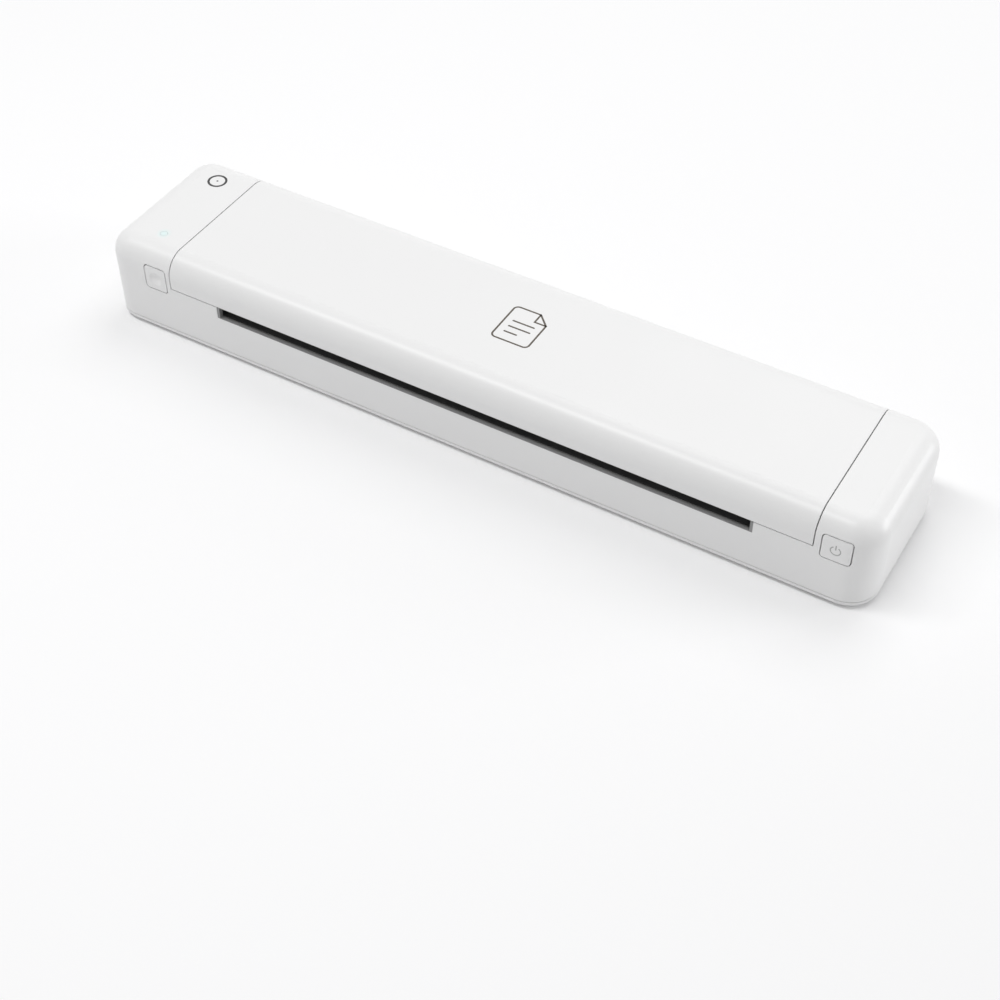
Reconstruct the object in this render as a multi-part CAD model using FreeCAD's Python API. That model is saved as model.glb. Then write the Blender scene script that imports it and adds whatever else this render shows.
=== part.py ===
import FreeCAD, Part
import math
import os

# A portable thermal printer for A4 sheets, in millimetres.
# X runs along the printer, the front is -Y, the table is z = 0, and the origin is the middle
# of the footprint. The sheet enters through the rear slot, passes between a driven rubber
# platen and a sprung thermal head that hangs in the hinged top cover, and leaves at the front.

V = FreeCAD.Vector
X_AXIS = V(1, 0, 0)
Y_AXIS = V(0, 1, 0)
Z_AXIS = V(0, 0, 1)

# Body
FOOT_PROUD = 1.0
WALL = 2.0
RIGHT_PLAN_R = 11.5
LEFT_PLAN_R = 9.5
TOP_R = 8.5
BOTTOM_R = 1.6
OVERRUN = 2.0

# Clearances
PART_GAP = 0.4
SEAM_GAP = 0.2
RUN_FIT = 0.05
CLEAR = 0.3

# Bottom cover
TRAY_EDGE = 2.4
LIP_T = 1.0
LIP_RISE = 2.0
LIP_FIT = 0.1

# Top cover between the two end blocks, of which the left one holds the motor
COVER_SIDE = 25.0
LEFT_BLOCK = 30.5
RIGHT_BLOCK = 21.5
COVER_EDGE_RISE = 2.7
CHEEK_T = 1.2
BULKHEAD_T = 1.5

# Sheet path
SHEET_WIDTH = 210.0
SLOT_SIDE = 4.0
SLOT_SILL_DROP = 2.6

# Cover hinge
BARREL_R = 2.5
HINGE_PIN_R = 1.2
HINGE_PIN_HOLD = 6.0
HINGE_BOSS_R = 2.4

# Platen
PLATEN_R = 6.0
PLATEN_CORE_R = 3.0
JOURNAL_R = 2.0
PLATEN_SIDE = 3.0
PLATEN_FRONT = 20.0
BUSH_R = 3.4
BUSH_FLANGE_R = 4.6
BUSH_FLANGE_T = 0.8

# Gear train
MODULE = 0.5
PRESSURE_DEG = 20.0
ADDENDUM_SHARE = 0.9
DEDENDUM_SHARE = 1.25
BACKLASH_SHARE = 0.24
PLATEN_TEETH = 28
SMALL_TEETH = 16
LARGE_TEETH = 36
PINION_TEETH = 16
FLANK_STEPS = 4
GEAR_T = 5.0
LARGE_GEAR_T = 3.5
GEAR_FLOOR_GAP = 1.45
GEAR_ROOF_GAP = 1.65
STUD_R = 1.5
STUD_HEAD_R = 2.4
STUD_HEAD_T = 0.6

# Motor
MOTOR_R = 10.0
MOTOR_LENGTH = 17.0
MOTOR_FLANGE_T = 1.0
MOTOR_EAR = 14.0
MOTOR_EAR_DEG = 150.0
MOTOR_EAR_R = 3.2
MOTOR_PILOT_R = 3.5
MOTOR_PILOT_T = 1.2
MOTOR_SHAFT_R = 1.0
MOTOR_CAP_R = 4.0
MOTOR_CAP_T = 1.0
MOTOR_FLOOR_GAP = 1.5
MOTOR_BACK = 10.1

# Folded steel chassis
CHASSIS_T = 1.2
CHASSIS_SIDE = 7.0
CHASSIS_AHEAD = 9.0
CHASSIS_REAR = 8.0
UPRIGHT_BEHIND = 18.0
UPRIGHT_DROP = 0.5
UPRIGHT_NOSE_REACH = 3.6
UPRIGHT_STEP = 3.5
UPRIGHT_NOSE_RISE = 4.5
STANDOFF_R = 2.6
STANDOFF_H = 3.2

# Lower sheet guide
GUIDE_T = 1.6
GUIDE_DROP = 0.8
GUIDE_RAMP = 9.8
GUIDE_LEDGE = 1.8
GUIDE_SCREW_LENGTH = 4.2
GUIDE_BLOCK_H = 3.0
PLATEN_GAP = 0.7
RIB_T = 1.2
RIB_DEPTH = 3.0
SENSOR_SIZE = (6.0, 4.0, 2.6)
SENSOR_BEHIND = 16.0

# Cover liner with the upper sheet guide
LINER_T = 1.4
LINER_RISE = 3.7
LINER_RIB_RISE = 1.3
LINER_RIB_COUNT = 12
LINER_SIDE_GAP = 0.6
RIBBON_WINDOW = 12.0

# Thermal head
HEAD_GAP = 0.3
CERAMIC_T = 1.1
HEAT_LINE_W = 1.1
CERAMIC_FRONT = 8.0
CERAMIC_BACK = 4.0
HEATSINK_T = 3.0
HEATSINK_FRONT = 9.5
HEATSINK_BACK = 9.5
HEATSINK_SIDE = 0.5
HEAD_OPEN_GAP = 0.8
TAB_LENGTH = 6.2
TAB_T = 1.0
TAB_WIDTH = 8.0
HEAD_TRAVEL = 0.8
DRIVER_W = 4.2
DRIVER_T = 0.7
HEAD_BOARD_LENGTH = 58.0
HEAD_BOARD_W = 5.6
BOARD_T = 1.2
RIBBON_W = 9.0
RIBBON_T = 0.25
RIBBON_PLUG = (2.0, 4.2)

# Springs
HEAD_SPRING_R = 3.4
HEAD_SPRING_WIRE_R = 0.35
HEAD_SPRING_TURNS = 4
HEAD_SPRING_LENGTH = 5.8
SPRING_SEAT_R = 2.6
SPRING_SEAT_DROP = 3.5
SEAT_PEG_H = 1.5
BUTTON_SPRING_R = 2.0
BUTTON_SPRING_WIRE_R = 0.25
BUTTON_SPRING_TURNS = 5

# Latch
LATCH_FRONT = 6.7
LATCH_UP = 8.5
LATCH_R = 2.0
LATCH_HUB_R = 3.4
LATCH_ARM_T = 2.0
LATCH_BITE = 0.9
HOOK_W = 2.0
HOOK_DROP = 2.3
NOSE_T = 1.6
KEEPER_T = 1.0
KEEPER_W = 4.0
LEVER_OVER = 2.0
PUSH_DROP = 0.2

# Buttons
RELEASE_W = 10.2
RELEASE_EDGE = 1.85
POWER_W = 11.0
POWER_EDGE = 2.4
BUTTON_H = 10.6
BUTTON_TOP_EDGE = 6.0
BUTTON_R = 1.5
BUTTON_GAP = 0.35
BUTTON_FLANGE = 1.0
BUTTON_FLANGE_T = 1.0
BUTTON_DEPTH = 4.4
DIMPLE_R = 2.8
DIMPLE_DEPTH = 0.7
PUSH_NUB = 1.4

# Power switch
SWITCH_W = 6.0
SWITCH_T = 3.4
PLUNGER_R = 1.7
PLUNGER_T = 1.0
PLUNGER_BORE = 1.6
SWITCH_BOARD_W = 13.0
SWITCH_BOARD_H = 16.0

# Status lamp
LAMP_SIDE = 11.1
LAMP_FRONT = 12.9
LAMP_R = 1.3
LAMP_FLANGE_R = 2.2
LAMP_FLANGE_T = 1.2
LED_SIZE = (2.4, 1.8, 0.8)
LED_BOARD = (12.0, 11.0)

# USB socket
USB_SIDE = 7.45
USB_UP = 7.0
USB_W = 8.94
USB_H = 3.16
USB_SHELL = 0.3
USB_DEPTH = 7.4
USB_TONGUE = (6.2, 0.7)
USB_TONGUE_REACH = 5.0
USB_BOARD = (10.0, 12.0)

# Battery and main board
BATTERY_SIDE = 4.25
BATTERY_TO_BOARD = 5.5
BATTERY_ROOF_GAP = 0.5
BAY_EDGE = 0.2
BATTERY_R = 2.4
PAD_T = 0.8
PAD_W = 12.0
PAD_SHARES = (0.15, 0.5, 0.85)
MAIN_BOARD_LENGTH = 110.0
MAIN_BOARD_SIDE = 2.45
BOARD_EDGE = 3.4

# Fasteners
SCREW_R = 1.0
SCREW_LENGTH = 6.0
SCREW_HEAD_R = 1.9
SCREW_HEAD_T = 1.1
CROSS_W = 0.5
CROSS_SHARE = 0.65
BOSS_R = 2.7
POST_R = 3.0
POST_EDGE_X = 8.25
POST_EDGE_Y = 6.5
RIGHT_POST_EDGE_X = 5.95
WALL_BOSS_H = 6.2
WALL_BOSS_SHARES = (-0.31, 0.31)
SHOULDER_R = 1.5
SHOULDER_HEAD_R = 2.7
SHOULDER_HEAD_T = 1.2

# Feet
FOOT_R = 5.0
FOOT_SINK = 0.8
FOOT_EDGE_X = 17.0
FOOT_EDGE_Y = 11.0

# Wires
WIRE_R = 0.7
LEAD_R = 0.9
WIRE_HOLE_W = 4.4
WIRE_HOLE_H = 6.0
WIRE_SIDE = 2.6
PLUG_SIZE_SHARES = (0.30, 0.30, 0.24)
PLUG_SHARES = (0.08, 0.16)
SIDE_PLUG = (5.4, 3.8, 4.2)
SIDE_WIRE_IN = 2.3
BATTERY_PLUG_SHARES = (0.14, 0.30, 0.26, 0.16)

# Places that follow from the sizes above, first along the printer
COVER_LENGTH = SHEET_WIDTH + 2 * COVER_SIDE
LENGTH = LEFT_BLOCK + COVER_LENGTH + RIGHT_BLOCK
COVER_SHIFT = (LEFT_BLOCK - RIGHT_BLOCK) / 2
HALF_X = LENGTH / 2
COVER_X0 = COVER_SHIFT - COVER_LENGTH / 2
COVER_X1 = COVER_SHIFT + COVER_LENGTH / 2
WELL_X0 = COVER_X0 - PART_GAP / 2
WELL_X1 = COVER_X1 + PART_GAP / 2
BULKHEAD_X0 = WELL_X0 - BULKHEAD_T
BULKHEAD_X1 = WELL_X1 + BULKHEAD_T
SLOT_LENGTH = SHEET_WIDTH + 2 * SLOT_SIDE
SLOT_X0 = COVER_SHIFT - SLOT_LENGTH / 2
SLOT_X1 = COVER_SHIFT + SLOT_LENGTH / 2
PLATEN_X0 = COVER_SHIFT - SHEET_WIDTH / 2 - PLATEN_SIDE
PLATEN_X1 = COVER_SHIFT + SHEET_WIDTH / 2 + PLATEN_SIDE
HEATSINK_X0 = PLATEN_X0 - HEATSINK_SIDE
HEATSINK_X1 = PLATEN_X1 + HEATSINK_SIDE
CHASSIS_X0 = SLOT_X0 - CHASSIS_SIDE
CHASSIS_X1 = SLOT_X1 + CHASSIS_SIDE
UPRIGHT_X0 = CHASSIS_X0 - CHASSIS_T
PLATEN_GEAR_X1 = UPRIGHT_X0 - BUSH_FLANGE_T - PART_GAP
PLATEN_GEAR_X0 = PLATEN_GEAR_X1 - GEAR_T
LARGE_GEAR_X1 = PLATEN_GEAR_X0 - CLEAR
LARGE_GEAR_X0 = LARGE_GEAR_X1 - LARGE_GEAR_T


def pitch_radius(teeth):
    return MODULE * teeth / 2


# Heights, from the floor up: the largest gear sets the liner's height, and that the nip's
LARGE_TIP_R = pitch_radius(LARGE_TEETH) + MODULE * ADDENDUM_SHARE
BODY_LOW = FOOT_PROUD
FLOOR_TOP = BODY_LOW + WALL
SEAM_Z = BODY_LOW + TRAY_EDGE
CHASSIS_TOP = FLOOR_TOP + CHASSIS_T
BOARD_Z = CHASSIS_TOP + STANDOFF_H
WALL_BOSS_TOP = FLOOR_TOP + WALL_BOSS_H
WIRE_Z = WALL_BOSS_TOP + LEAD_R + CLEAR
IDLER_Z = FLOOR_TOP + GEAR_FLOOR_GAP + LARGE_TIP_R
MOTOR_Z = FLOOR_TOP + MOTOR_FLOOR_GAP + MOTOR_R
LINER_Z = IDLER_Z + LARGE_TIP_R + GEAR_ROOF_GAP
LINER_TOP = LINER_Z + LINER_T
NIP_Z = LINER_Z - LINER_RISE
PLATEN_Z = NIP_Z - PLATEN_R
SLOT_SILL_Z = NIP_Z - SLOT_SILL_DROP
COVER_EDGE_Z = NIP_Z + COVER_EDGE_RISE
GUIDE_TOP = NIP_Z - GUIDE_DROP
UPRIGHT_TOP = NIP_Z - UPRIGHT_DROP
LINER_RIB_LOW = NIP_Z + LINER_RIB_RISE
HINGE_Z = COVER_EDGE_Z + BARREL_R
HEAD_Z = NIP_Z + HEAD_GAP
HEATSINK_Z = HEAD_Z + CERAMIC_T
HEATSINK_TOP = HEATSINK_Z + HEATSINK_T
SPRING_SEAT_Z = HEATSINK_TOP + HEAD_SPRING_LENGTH
INNER_TOP = SPRING_SEAT_Z + SPRING_SEAT_DROP
HEIGHT = INNER_TOP + WALL
LATCH_Z = FLOOR_TOP + LATCH_UP
HOOK_RISE = NIP_Z - HOOK_DROP - LATCH_Z
USB_Z = FLOOR_TOP + USB_UP

# Across the printer: the gear train sets the depth
IDLER_REACH = pitch_radius(PLATEN_TEETH) + pitch_radius(SMALL_TEETH)
MOTOR_REACH = pitch_radius(LARGE_TEETH) + pitch_radius(PINION_TEETH)
IDLER_BEHIND = math.sqrt(IDLER_REACH ** 2 - (IDLER_Z - PLATEN_Z) ** 2)
MOTOR_BEHIND = math.sqrt(MOTOR_REACH ** 2 - (MOTOR_Z - IDLER_Z) ** 2)
DEPTH = PLATEN_FRONT + IDLER_BEHIND + MOTOR_BEHIND + MOTOR_R + MOTOR_BACK
HALF_Y = DEPTH / 2
INNER_Y = HALF_Y - WALL
HINGE_Y = HALF_Y - BARREL_R
PLATEN_Y = -HALF_Y + PLATEN_FRONT
IDLER_Y = PLATEN_Y + IDLER_BEHIND
MOTOR_Y = IDLER_Y + MOTOR_BEHIND
HEAD_Y0 = PLATEN_Y - HEATSINK_FRONT
HEAD_Y1 = PLATEN_Y + HEATSINK_BACK
LATCH_Y = -HALF_Y + LATCH_FRONT
CHASSIS_FRONT = PLATEN_Y - CHASSIS_AHEAD
CHASSIS_BACK = HALF_Y - CHASSIS_REAR
UPRIGHT_BACK = PLATEN_Y + UPRIGHT_BEHIND
SENSOR_Y = PLATEN_Y + SENSOR_BEHIND
WIRE_Y = INNER_Y - WIRE_SIDE
RIGHT_POST_Y = INNER_Y - USB_BOARD[1] - POST_R - 2 * CLEAR

# Battery and main board fill the bay under the sheet guide
BAY_BACK = CHASSIS_BACK - BAY_EDGE
MAIN_BOARD_X1 = WELL_X1 - MAIN_BOARD_SIDE
MAIN_BOARD_X0 = MAIN_BOARD_X1 - MAIN_BOARD_LENGTH
MAIN_BOARD_FRONT = UPRIGHT_BACK + PART_GAP
MAIN_BOARD_WIDTH = BAY_BACK - MAIN_BOARD_FRONT
SIDE_WIRE_Y = MAIN_BOARD_FRONT + SIDE_WIRE_IN
BATTERY_X0 = CHASSIS_X0 + BATTERY_SIDE
BATTERY_X1 = MAIN_BOARD_X0 - BATTERY_TO_BOARD
BATTERY_FRONT = PLATEN_Y + PLATEN_R + PLATEN_GAP + RIB_T + CLEAR
BATTERY_LOW = CHASSIS_TOP + PAD_T
BATTERY_TOP = GUIDE_TOP - GUIDE_T - RIB_DEPTH - BATTERY_ROOF_GAP

# Lamp and socket
LAMP_X = COVER_X0 - LAMP_SIDE
LAMP_Y = -HALF_Y + LAMP_FRONT
USB_X = COVER_X1 + USB_SIDE

# Buttons in the front wall, and their pads and boards
RELEASE_X1 = COVER_X0 - RELEASE_EDGE
RELEASE_X0 = RELEASE_X1 - RELEASE_W
POWER_X0 = COVER_X1 + POWER_EDGE
POWER_X1 = POWER_X0 + POWER_W
BUTTON_HIGH = HEIGHT - BUTTON_TOP_EDGE
BUTTON_LOW = BUTTON_HIGH - BUTTON_H
BUTTON_MID_Z = (BUTTON_LOW + BUTTON_HIGH) / 2
BUTTON_BACK = -HALF_Y + BUTTON_DEPTH
PUSH_RISE = BUTTON_MID_Z - PUSH_DROP - LATCH_Z
LEVER_RISE = PUSH_RISE + LEVER_OVER
LATCH_FACE_Y = LATCH_Y - LATCH_ARM_T / 2
SWITCH_MOUTH_Y = BUTTON_BACK + PLUNGER_T
SWITCH_BACK_Y = SWITCH_MOUTH_Y + SWITCH_T
RIB_Y0 = LATCH_FACE_Y + 2 * LATCH_ARM_T + HEAD_SPRING_R
LED_BOARD_TOP = INNER_TOP - LAMP_FLANGE_T - LED_SIZE[2]
HEAD_BOARD_X1 = COVER_X1 - CHEEK_T - RIBBON_PLUG[0] / 2
RIBBON_X1 = HEAD_BOARD_X1 - LINER_SIDE_GAP
RIBBON_X0 = RIBBON_X1 - RIBBON_W


# Simple solids
def box(x0, x1, y0, y1, z0, z1):
    return Part.makeBox(x1 - x0, y1 - y0, z1 - z0, V(x0, y0, z0))


def rod_x(x0, x1, y, z, radius):
    return Part.makeCylinder(radius, x1 - x0, V(x0, y, z), X_AXIS)


def rod_y(x, y0, y1, z, radius):
    return Part.makeCylinder(radius, y1 - y0, V(x, y0, z), Y_AXIS)


def rod_z(x, y, z0, z1, radius):
    return Part.makeCylinder(radius, z1 - z0, V(x, y, z0), Z_AXIS)


def plate_x(points, x0, x1):
    """A plate of constant section: points are (y, z) corners, extruded from x0 to x1."""
    corners = [V(x0, y, z) for y, z in points]
    face = Part.Face(Part.makePolygon(corners + corners[:1]))
    return face.extrude(V(x1 - x0, 0, 0))


def joined(first, *others):
    return first.multiFuse(list(others)).removeSplitter()


def cut(solid, *tools):
    return solid.cut(Part.makeCompound(list(tools)))


def edges_where(shape, test):
    return [edge for edge in shape.Edges if test(edge.BoundBox)]


def edges_along_z(shape):
    return edges_where(shape, lambda b: b.ZLength > max(b.XLength, b.YLength))


def edges_at_z(shape, z):
    return edges_where(shape, lambda b: max(abs(b.ZMin - z), abs(b.ZMax - z)) < RUN_FIT)


def rounded_body(inset, z0, z1, top_r, bottom_r):
    """The body's outline drawn in by inset, with its plan corners and edges rounded."""
    block = box(-HALF_X + inset, HALF_X - inset, -HALF_Y + inset, HALF_Y - inset, z0, z1)
    left = [edge for edge in edges_along_z(block) if edge.BoundBox.XMax < 0]
    block = block.makeFillet(LEFT_PLAN_R - inset, left)
    right = [edge for edge in edges_along_z(block) if edge.BoundBox.XMin > 0]
    block = block.makeFillet(RIGHT_PLAN_R - inset, right)
    if top_r > 0:
        block = block.makeFillet(top_r, edges_at_z(block, z1))
    if bottom_r > 0:
        block = block.makeFillet(bottom_r, edges_at_z(block, z0))
    return block


def outer_body():
    return rounded_body(0, BODY_LOW, HEIGHT, TOP_R, BOTTOM_R)


def inner_body(inset=WALL):
    return rounded_body(inset, BODY_LOW + inset, HEIGHT - inset, TOP_R - inset, 0)


# Fasteners
def screw(place, direction, length=SCREW_LENGTH):
    """A pan-head cross screw whose head seats at place and whose shank runs along direction."""
    shank = Part.makeCylinder(SCREW_R, length)
    head = Part.makeCylinder(SCREW_HEAD_R, SCREW_HEAD_T, V(0, 0, -SCREW_HEAD_T))
    body = shank.fuse(head)
    reach = SCREW_HEAD_R * CROSS_SHARE
    depth = -SCREW_HEAD_T * (1 - CROSS_SHARE)
    arm = box(-reach, reach, -CROSS_W / 2, CROSS_W / 2, -SCREW_HEAD_T - OVERRUN, depth)
    arm_across = box(-CROSS_W / 2, CROSS_W / 2, -reach, reach, -SCREW_HEAD_T - OVERRUN, depth)
    body = cut(body, arm, arm_across)
    turn = FreeCAD.Rotation(Z_AXIS, V(*direction))
    body.Placement = FreeCAD.Placement(V(*place), turn)
    return body


def pilot(place, direction, length=SCREW_LENGTH):
    """The hole that a screw of this length cuts its thread in."""
    return Part.makeCylinder(SCREW_R + RUN_FIT, length + CLEAR, V(*place), V(*direction))


# Paths for wires and springs
def tangent_path(points):
    """Straight runs joined by tangent arcs, each as large as its two runs allow."""
    run_share = 0.45
    route = [V(*p) for p in points]
    edges = []
    radii = []
    start = route[0]
    for before, corner, after in zip(route, route[1:], route[2:]):
        inward = (corner - before).normalize()
        outward = (after - corner).normalize()
        half_turn = inward.getAngle(outward) / 2
        reach = run_share * min((corner - before).Length, (after - corner).Length)
        radius = reach / math.tan(half_turn)
        bisector = (outward - inward).normalize()
        centre = corner + bisector * (radius / math.cos(half_turn))
        first = corner - inward * reach
        last = corner + outward * reach
        edges.append(Part.makeLine(start, first))
        edges.append(Part.Arc(first, centre - bisector * radius, last).toShape())
        radii.append(radius)
        start = last
    edges.append(Part.makeLine(start, route[-1]))
    return Part.Wire(edges), radii


def wire_tube(points, radius):
    path, radii = tangent_path(points)
    along = V(*points[1]) - V(*points[0])
    ring = Part.Wire(Part.makeCircle(radius, V(*points[0]), along))
    tube = path.makePipeShell([ring], True, False)
    measured = tube.Volume / (math.pi * radius ** 2 * path.Length)
    print("wire: least bend radius %.1f, volume share %.3f" % (min(radii), measured))
    return tube


def biarc(p0, t0, p1, t1):
    """Two arcs that leave p0 along t0 and reach p1 along t1."""
    chord = p1 - p0
    both = t0 + t1
    spread = 2 * (1 - t0.dot(t1))
    lean = chord.dot(both)
    reach = (math.sqrt(lean ** 2 + spread * chord.dot(chord)) - lean) / spread
    near = p0 + t0 * reach
    far = p1 - t1 * reach
    middle = (near + far) / 2
    return [arc_to(p0, near, middle), arc_to(middle, far, p1)]


def arc_to(start, corner, end):
    """The arc that touches the lines start-corner and corner-end at its ends."""
    chord_mid = (start + end) / 2
    half = (end - start).Length / 2
    rise = (corner - chord_mid).Length
    side = (corner - start).Length
    sag = half * (side - half) / rise
    return Part.Arc(start, chord_mid + (corner - chord_mid) * (sag / rise), end).toShape()


def coil_spring(radius, wire_r, turns, length):
    """An open coil along +Z from z = 0, one unbroken wire made of quarter-turn arcs."""
    pitch = (length - 2 * wire_r) / turns
    quarters = 4 * turns
    slope = pitch / (2 * math.pi)

    def at(step):
        angle = step * math.pi / 2
        return V(radius * math.cos(angle), radius * math.sin(angle),
                 wire_r + pitch * step / 4)

    def tangent(step):
        angle = step * math.pi / 2
        return V(-radius * math.sin(angle), radius * math.cos(angle), slope).normalize()

    edges = []
    for step in range(quarters):
        edges += biarc(at(step), tangent(step), at(step + 1), tangent(step + 1))
    path = Part.Wire(edges)
    ring = Part.Wire(Part.makeCircle(wire_r, at(0), tangent(0)))
    print("spring: least gap between turns %.2f" % (pitch - 2 * wire_r))
    return path.makePipeShell([ring], True, False)


# Gears
def involute(angle):
    return math.tan(angle) - angle


def gear(teeth, x0, x1, y, z, tooth_at, bore_r):
    """An involute gear about the X direction, with one tooth centred on the angle tooth_at."""
    pitch_r = pitch_radius(teeth)
    base_r = pitch_r * math.cos(math.radians(PRESSURE_DEG))
    tip_r = pitch_r + MODULE * ADDENDUM_SHARE
    root_r = pitch_r - MODULE * DEDENDUM_SHARE
    half_at_pitch = math.pi / (2 * teeth) - MODULE * BACKLASH_SHARE / (4 * pitch_r)
    at_base = half_at_pitch + involute(math.radians(PRESSURE_DEG))

    def half_angle(radius):
        return at_base - involute(math.acos(min(1, base_r / radius)))

    low = max(base_r, root_r)
    flank = [low + (tip_r - low) * step / FLANK_STEPS for step in range(FLANK_STEPS + 1)]
    sides = [(r, half_angle(r)) for r in flank]
    if root_r < low:
        sides = [(root_r, sides[0][1])] + sides
    corners = []
    for tooth in range(teeth):
        middle = tooth_at + 2 * math.pi * tooth / teeth
        for radius, half in sides:
            corners.append((radius, middle - half))
        for radius, half in reversed(sides):
            corners.append((radius, middle + half))
    points = [(y + r * math.cos(a), z + r * math.sin(a)) for r, a in corners]
    return cut(plate_x(points, x0, x1), rod_x(x0 - OVERRUN, x1 + OVERRUN, y, z, bore_r))


def angle_from(y0, z0, y1, z1):
    return math.atan2(z1 - z0, y1 - y0)


# Repeated places
def post_places():
    """Tall posts in the end blocks: (x, y)."""
    left_x = -HALF_X + POST_EDGE_X
    left_y = HALF_Y - POST_EDGE_Y
    right_x = HALF_X - RIGHT_POST_EDGE_X
    return [(left_x, -left_y), (left_x, left_y),
            (right_x, -RIGHT_POST_Y), (right_x, RIGHT_POST_Y)]


def wall_boss_places():
    """Short bosses along the front and rear walls: (x, y)."""
    y = INNER_Y - BOSS_R
    return [(COVER_SHIFT + share * SLOT_LENGTH, side * y)
            for share in WALL_BOSS_SHARES for side in (-1, 1)]


def case_screw_places():
    return post_places() + wall_boss_places()


def foot_places():
    x = HALF_X - FOOT_EDGE_X
    y = HALF_Y - FOOT_EDGE_Y
    return [(sx * x, sy * y) for sx in (-1, 1) for sy in (-1, 1)]


def spring_places():
    spacing_share = 0.34
    return [COVER_SHIFT + step * spacing_share * SHEET_WIDTH for step in (-1, 0, 1)]


def shoulder_places():
    middle = (TAB_LENGTH + HEATSINK_SIDE) / 2
    return [HEATSINK_X0 - middle, HEATSINK_X1 + middle]


def liner_screw_places():
    along_shares = (-0.43, -0.17, 0.17, 0.43)
    front_y = (-INNER_Y + HEAD_Y0) / 2
    rear_y = (HEAD_Y1 + HINGE_Y) / 2
    return [(COVER_SHIFT + share * COVER_LENGTH, y)
            for y in (front_y, rear_y) for share in along_shares]


def board_screw_places():
    x0 = MAIN_BOARD_X0 + BOARD_EDGE
    x1 = CHASSIS_X1 - BOARD_EDGE
    y0 = MAIN_BOARD_FRONT + BOARD_EDGE
    y1 = BAY_BACK - BOARD_EDGE
    return [(x, y) for x in (x0, x1) for y in (y0, y1)]


def guide_screw_places():
    x0 = (CHASSIS_X0 + SLOT_X0) / 2
    x1 = (CHASSIS_X1 + SLOT_X1) / 2
    y = INNER_Y - GUIDE_LEDGE - BOSS_R / 2
    return [(x, side * y) for x in (x0, x1) for side in (-1, 1)]


def motor_ear_places():
    """The motor's two screw ears: (y, z)."""
    angle = math.radians(MOTOR_EAR_DEG)
    reach_y = MOTOR_EAR * math.cos(angle)
    reach_z = MOTOR_EAR * math.sin(angle)
    return [(MOTOR_Y + side * reach_y, MOTOR_Z + side * reach_z) for side in (-1, 1)]


# Shells
def button_opening(x0, x1, inset, y0, y1):
    """A prism along Y with the button's rounded outline, drawn in by inset."""
    block = box(x0 + inset, x1 - inset, y0, y1, BUTTON_LOW + inset, BUTTON_HIGH - inset)
    corners = edges_where(block, lambda b: b.YLength > max(b.XLength, b.ZLength) / 2
                          and b.XLength < RUN_FIT and b.ZLength < RUN_FIT)
    return block.makeFillet(BUTTON_R - inset, corners)


def usb_outline(gap, y0, y1):
    """A stadium-shaped prism along Y round the socket, wider all round by gap."""
    half_w = USB_W / 2 + gap
    half_h = USB_H / 2 + gap
    middle = box(USB_X - half_w + half_h, USB_X + half_w - half_h, y0, y1,
                 USB_Z - half_h, USB_Z + half_h)
    ends = [rod_y(USB_X + side * (half_w - half_h), y0, y1, USB_Z, half_h) for side in (-1, 1)]
    return joined(middle, *ends)


def main_housing():
    """The fixed white shell: end blocks, low front and rear walls, bulkheads and bosses."""
    shell = outer_body().cut(inner_body())
    beyond = HALF_X + OVERRUN
    below = box(-beyond, beyond, -beyond, beyond, 0, SEAM_Z + SEAM_GAP / 2)
    well = box(WELL_X0, WELL_X1, -beyond, beyond, COVER_EDGE_Z - PART_GAP, HEIGHT + OVERRUN)
    slots = box(SLOT_X0, SLOT_X1, -beyond, beyond, SLOT_SILL_Z, HEIGHT)
    shell = cut(shell, below, well, slots)

    cavity = inner_body()
    low = FLOOR_TOP + LIP_RISE + CLEAR
    adds = []
    for x0 in (BULKHEAD_X0, WELL_X1):
        slab = box(x0, x0 + BULKHEAD_T, -HALF_Y, HALF_Y, low, HEIGHT)
        adds.append(cavity.common(slab))
    for x0, x1 in ((BULKHEAD_X0 - HINGE_PIN_HOLD, BULKHEAD_X0),
                   (BULKHEAD_X1, BULKHEAD_X1 + HINGE_PIN_HOLD)):
        adds.append(rod_x(x0, x1, HINGE_Y, HINGE_Z, HINGE_BOSS_R))
    for x, y in post_places():
        adds.append(rod_z(x, y, FLOOR_TOP, INNER_TOP, POST_R))
    for x, y in wall_boss_places():
        adds.append(rod_z(x, y, FLOOR_TOP, WALL_BOSS_TOP, BOSS_R))
        web_y0, web_y1 = sorted((y, math.copysign(INNER_Y + WALL / 2, y)))
        adds.append(box(x - BOSS_R, x + BOSS_R, web_y0, web_y1, SEAM_Z + LIP_RISE, WALL_BOSS_TOP))
    ledge_top = SLOT_SILL_Z - GUIDE_T
    for side in (-1, 1):
        y0, y1 = sorted((side * INNER_Y, side * (INNER_Y - GUIDE_LEDGE)))
        adds.append(box(SLOT_X0, SLOT_X1, y0, y1, ledge_top - WALL, ledge_top))
    for x, y in guide_screw_places():
        wall_y = math.copysign(INNER_Y, y)
        block_y0, block_y1 = sorted((wall_y, y - math.copysign(BOSS_R, y)))
        adds.append(box(x - BOSS_R, x + BOSS_R, block_y0, block_y1,
                        ledge_top - GUIDE_BLOCK_H, ledge_top))
    rib_top = BUTTON_MID_Z + BUTTON_SPRING_R + WALL
    adds.append(box(RELEASE_X0, BULKHEAD_X0, RIB_Y0, RIB_Y0 + BULKHEAD_T,
                    BUTTON_MID_Z - BUTTON_SPRING_R - WALL, rib_top))
    for x, y in led_screw_places():
        adds.append(rod_z(x, y, LED_BOARD_TOP, INNER_TOP, BOSS_R / 2 + SCREW_R))
    adds.append(switch_board_rail())
    adds.append(usb_board_rail())
    shell = joined(shell, *adds)
    return cut(shell, *housing_holes())


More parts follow.
